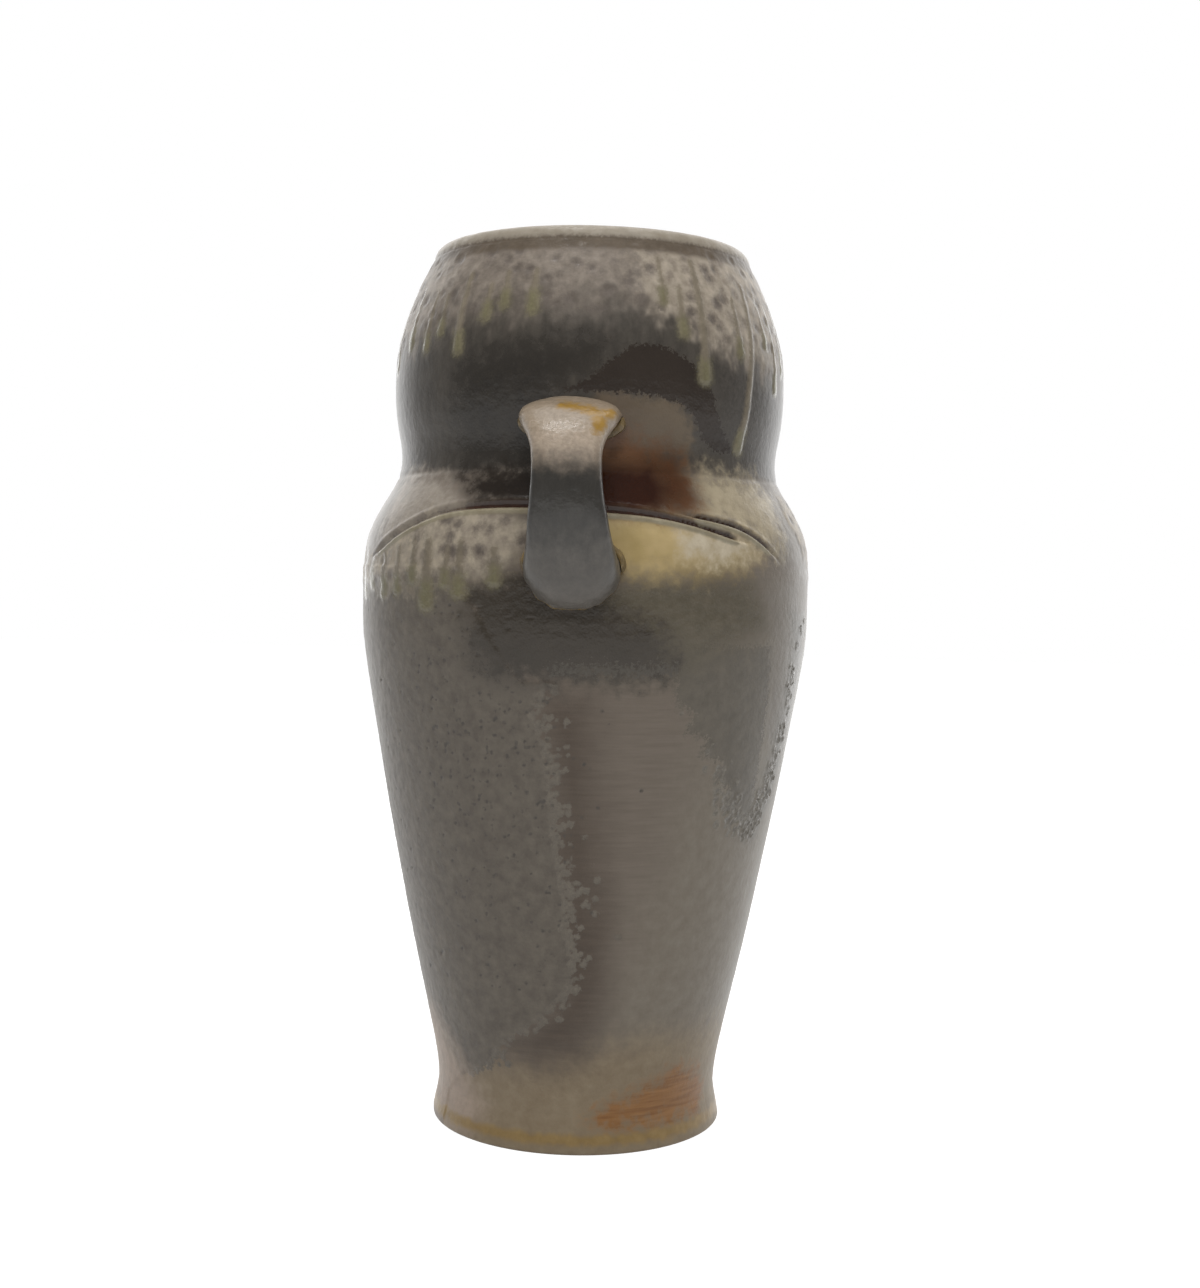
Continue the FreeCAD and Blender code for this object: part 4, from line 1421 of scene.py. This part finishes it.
# %% Lay the sweep
floor_size = 8.0
floor_glow = 0.9
floor_paper = "#b4b4b4"
sweep_tilt, sweep_start, sweep_end = -0.5, -0.3, 0.9
bpy.ops.mesh.primitive_plane_add(size=floor_size, location=(0, 0, levels["ground"]))
floor = bpy.context.object
floor.name = "floor"
paper = bpy.data.materials.new("white_paper_sweep")
paper.use_nodes = True
tree = paper.node_tree
tree.nodes.clear()
path = add(tree, "ShaderNodeLightPath")
seen = add(tree, "ShaderNodeMath", {0: path.outputs["Is Camera Ray"], 1: path.outputs["Is Glossy Ray"]})
seen = add(tree, "ShaderNodeMath", {0: seen.outputs[0], 1: path.outputs["Is Transmission Ray"]},
           use_clamp=True)
glow = add(tree, "ShaderNodeMath", {0: seen.outputs[0], 1: floor_glow}, operation="MULTIPLY")
sheet = add(tree, "ShaderNodeBsdfDiffuse", {"Color": colour(floor_paper)})
shine = add(tree, "ShaderNodeEmission", {"Strength": glow.outputs[0]})
both = add(tree, "ShaderNodeAddShader", {0: sheet.outputs[0], 1: shine.outputs[0]})
add(tree, "ShaderNodeOutputMaterial", {"Surface": both.outputs[0]})
floor.data.materials.append(paper)

world = bpy.data.worlds.new("studio")
world.use_nodes = True
tree = world.node_tree
tree.nodes.clear()
path = add(tree, "ShaderNodeLightPath")
way = add(tree, "ShaderNodeSeparateXYZ", {0: add(tree, "ShaderNodeTexCoord").outputs["Generated"]})
behind = add(tree, "ShaderNodeMath", {0: way.outputs["Z"], 1: sweep_tilt, 2: way.outputs["Y"]},
             operation="MULTIPLY_ADD")
sweep = add(tree, "ShaderNodeMapRange",
            {0: behind.outputs[0], 1: sweep_start, 2: sweep_end, 3: front_fill, 4: back_fill})
strength = add(tree, "ShaderNodeMix", {0: path.outputs["Is Camera Ray"], 2: sweep.outputs[0], 3: 1.0},
               data_type="FLOAT")
sky = add(tree, "ShaderNodeBackground", {"Color": (1, 1, 1, 1), "Strength": strength.outputs[0]})
add(tree, "ShaderNodeOutputWorld", {"Surface": sky.outputs[0]})
bpy.context.scene.world = world
bpy.context.scene.view_settings.view_transform = "Standard"
print("floor", floor_size, "m wide, world from", front_fill, "in front to", back_fill, "behind")
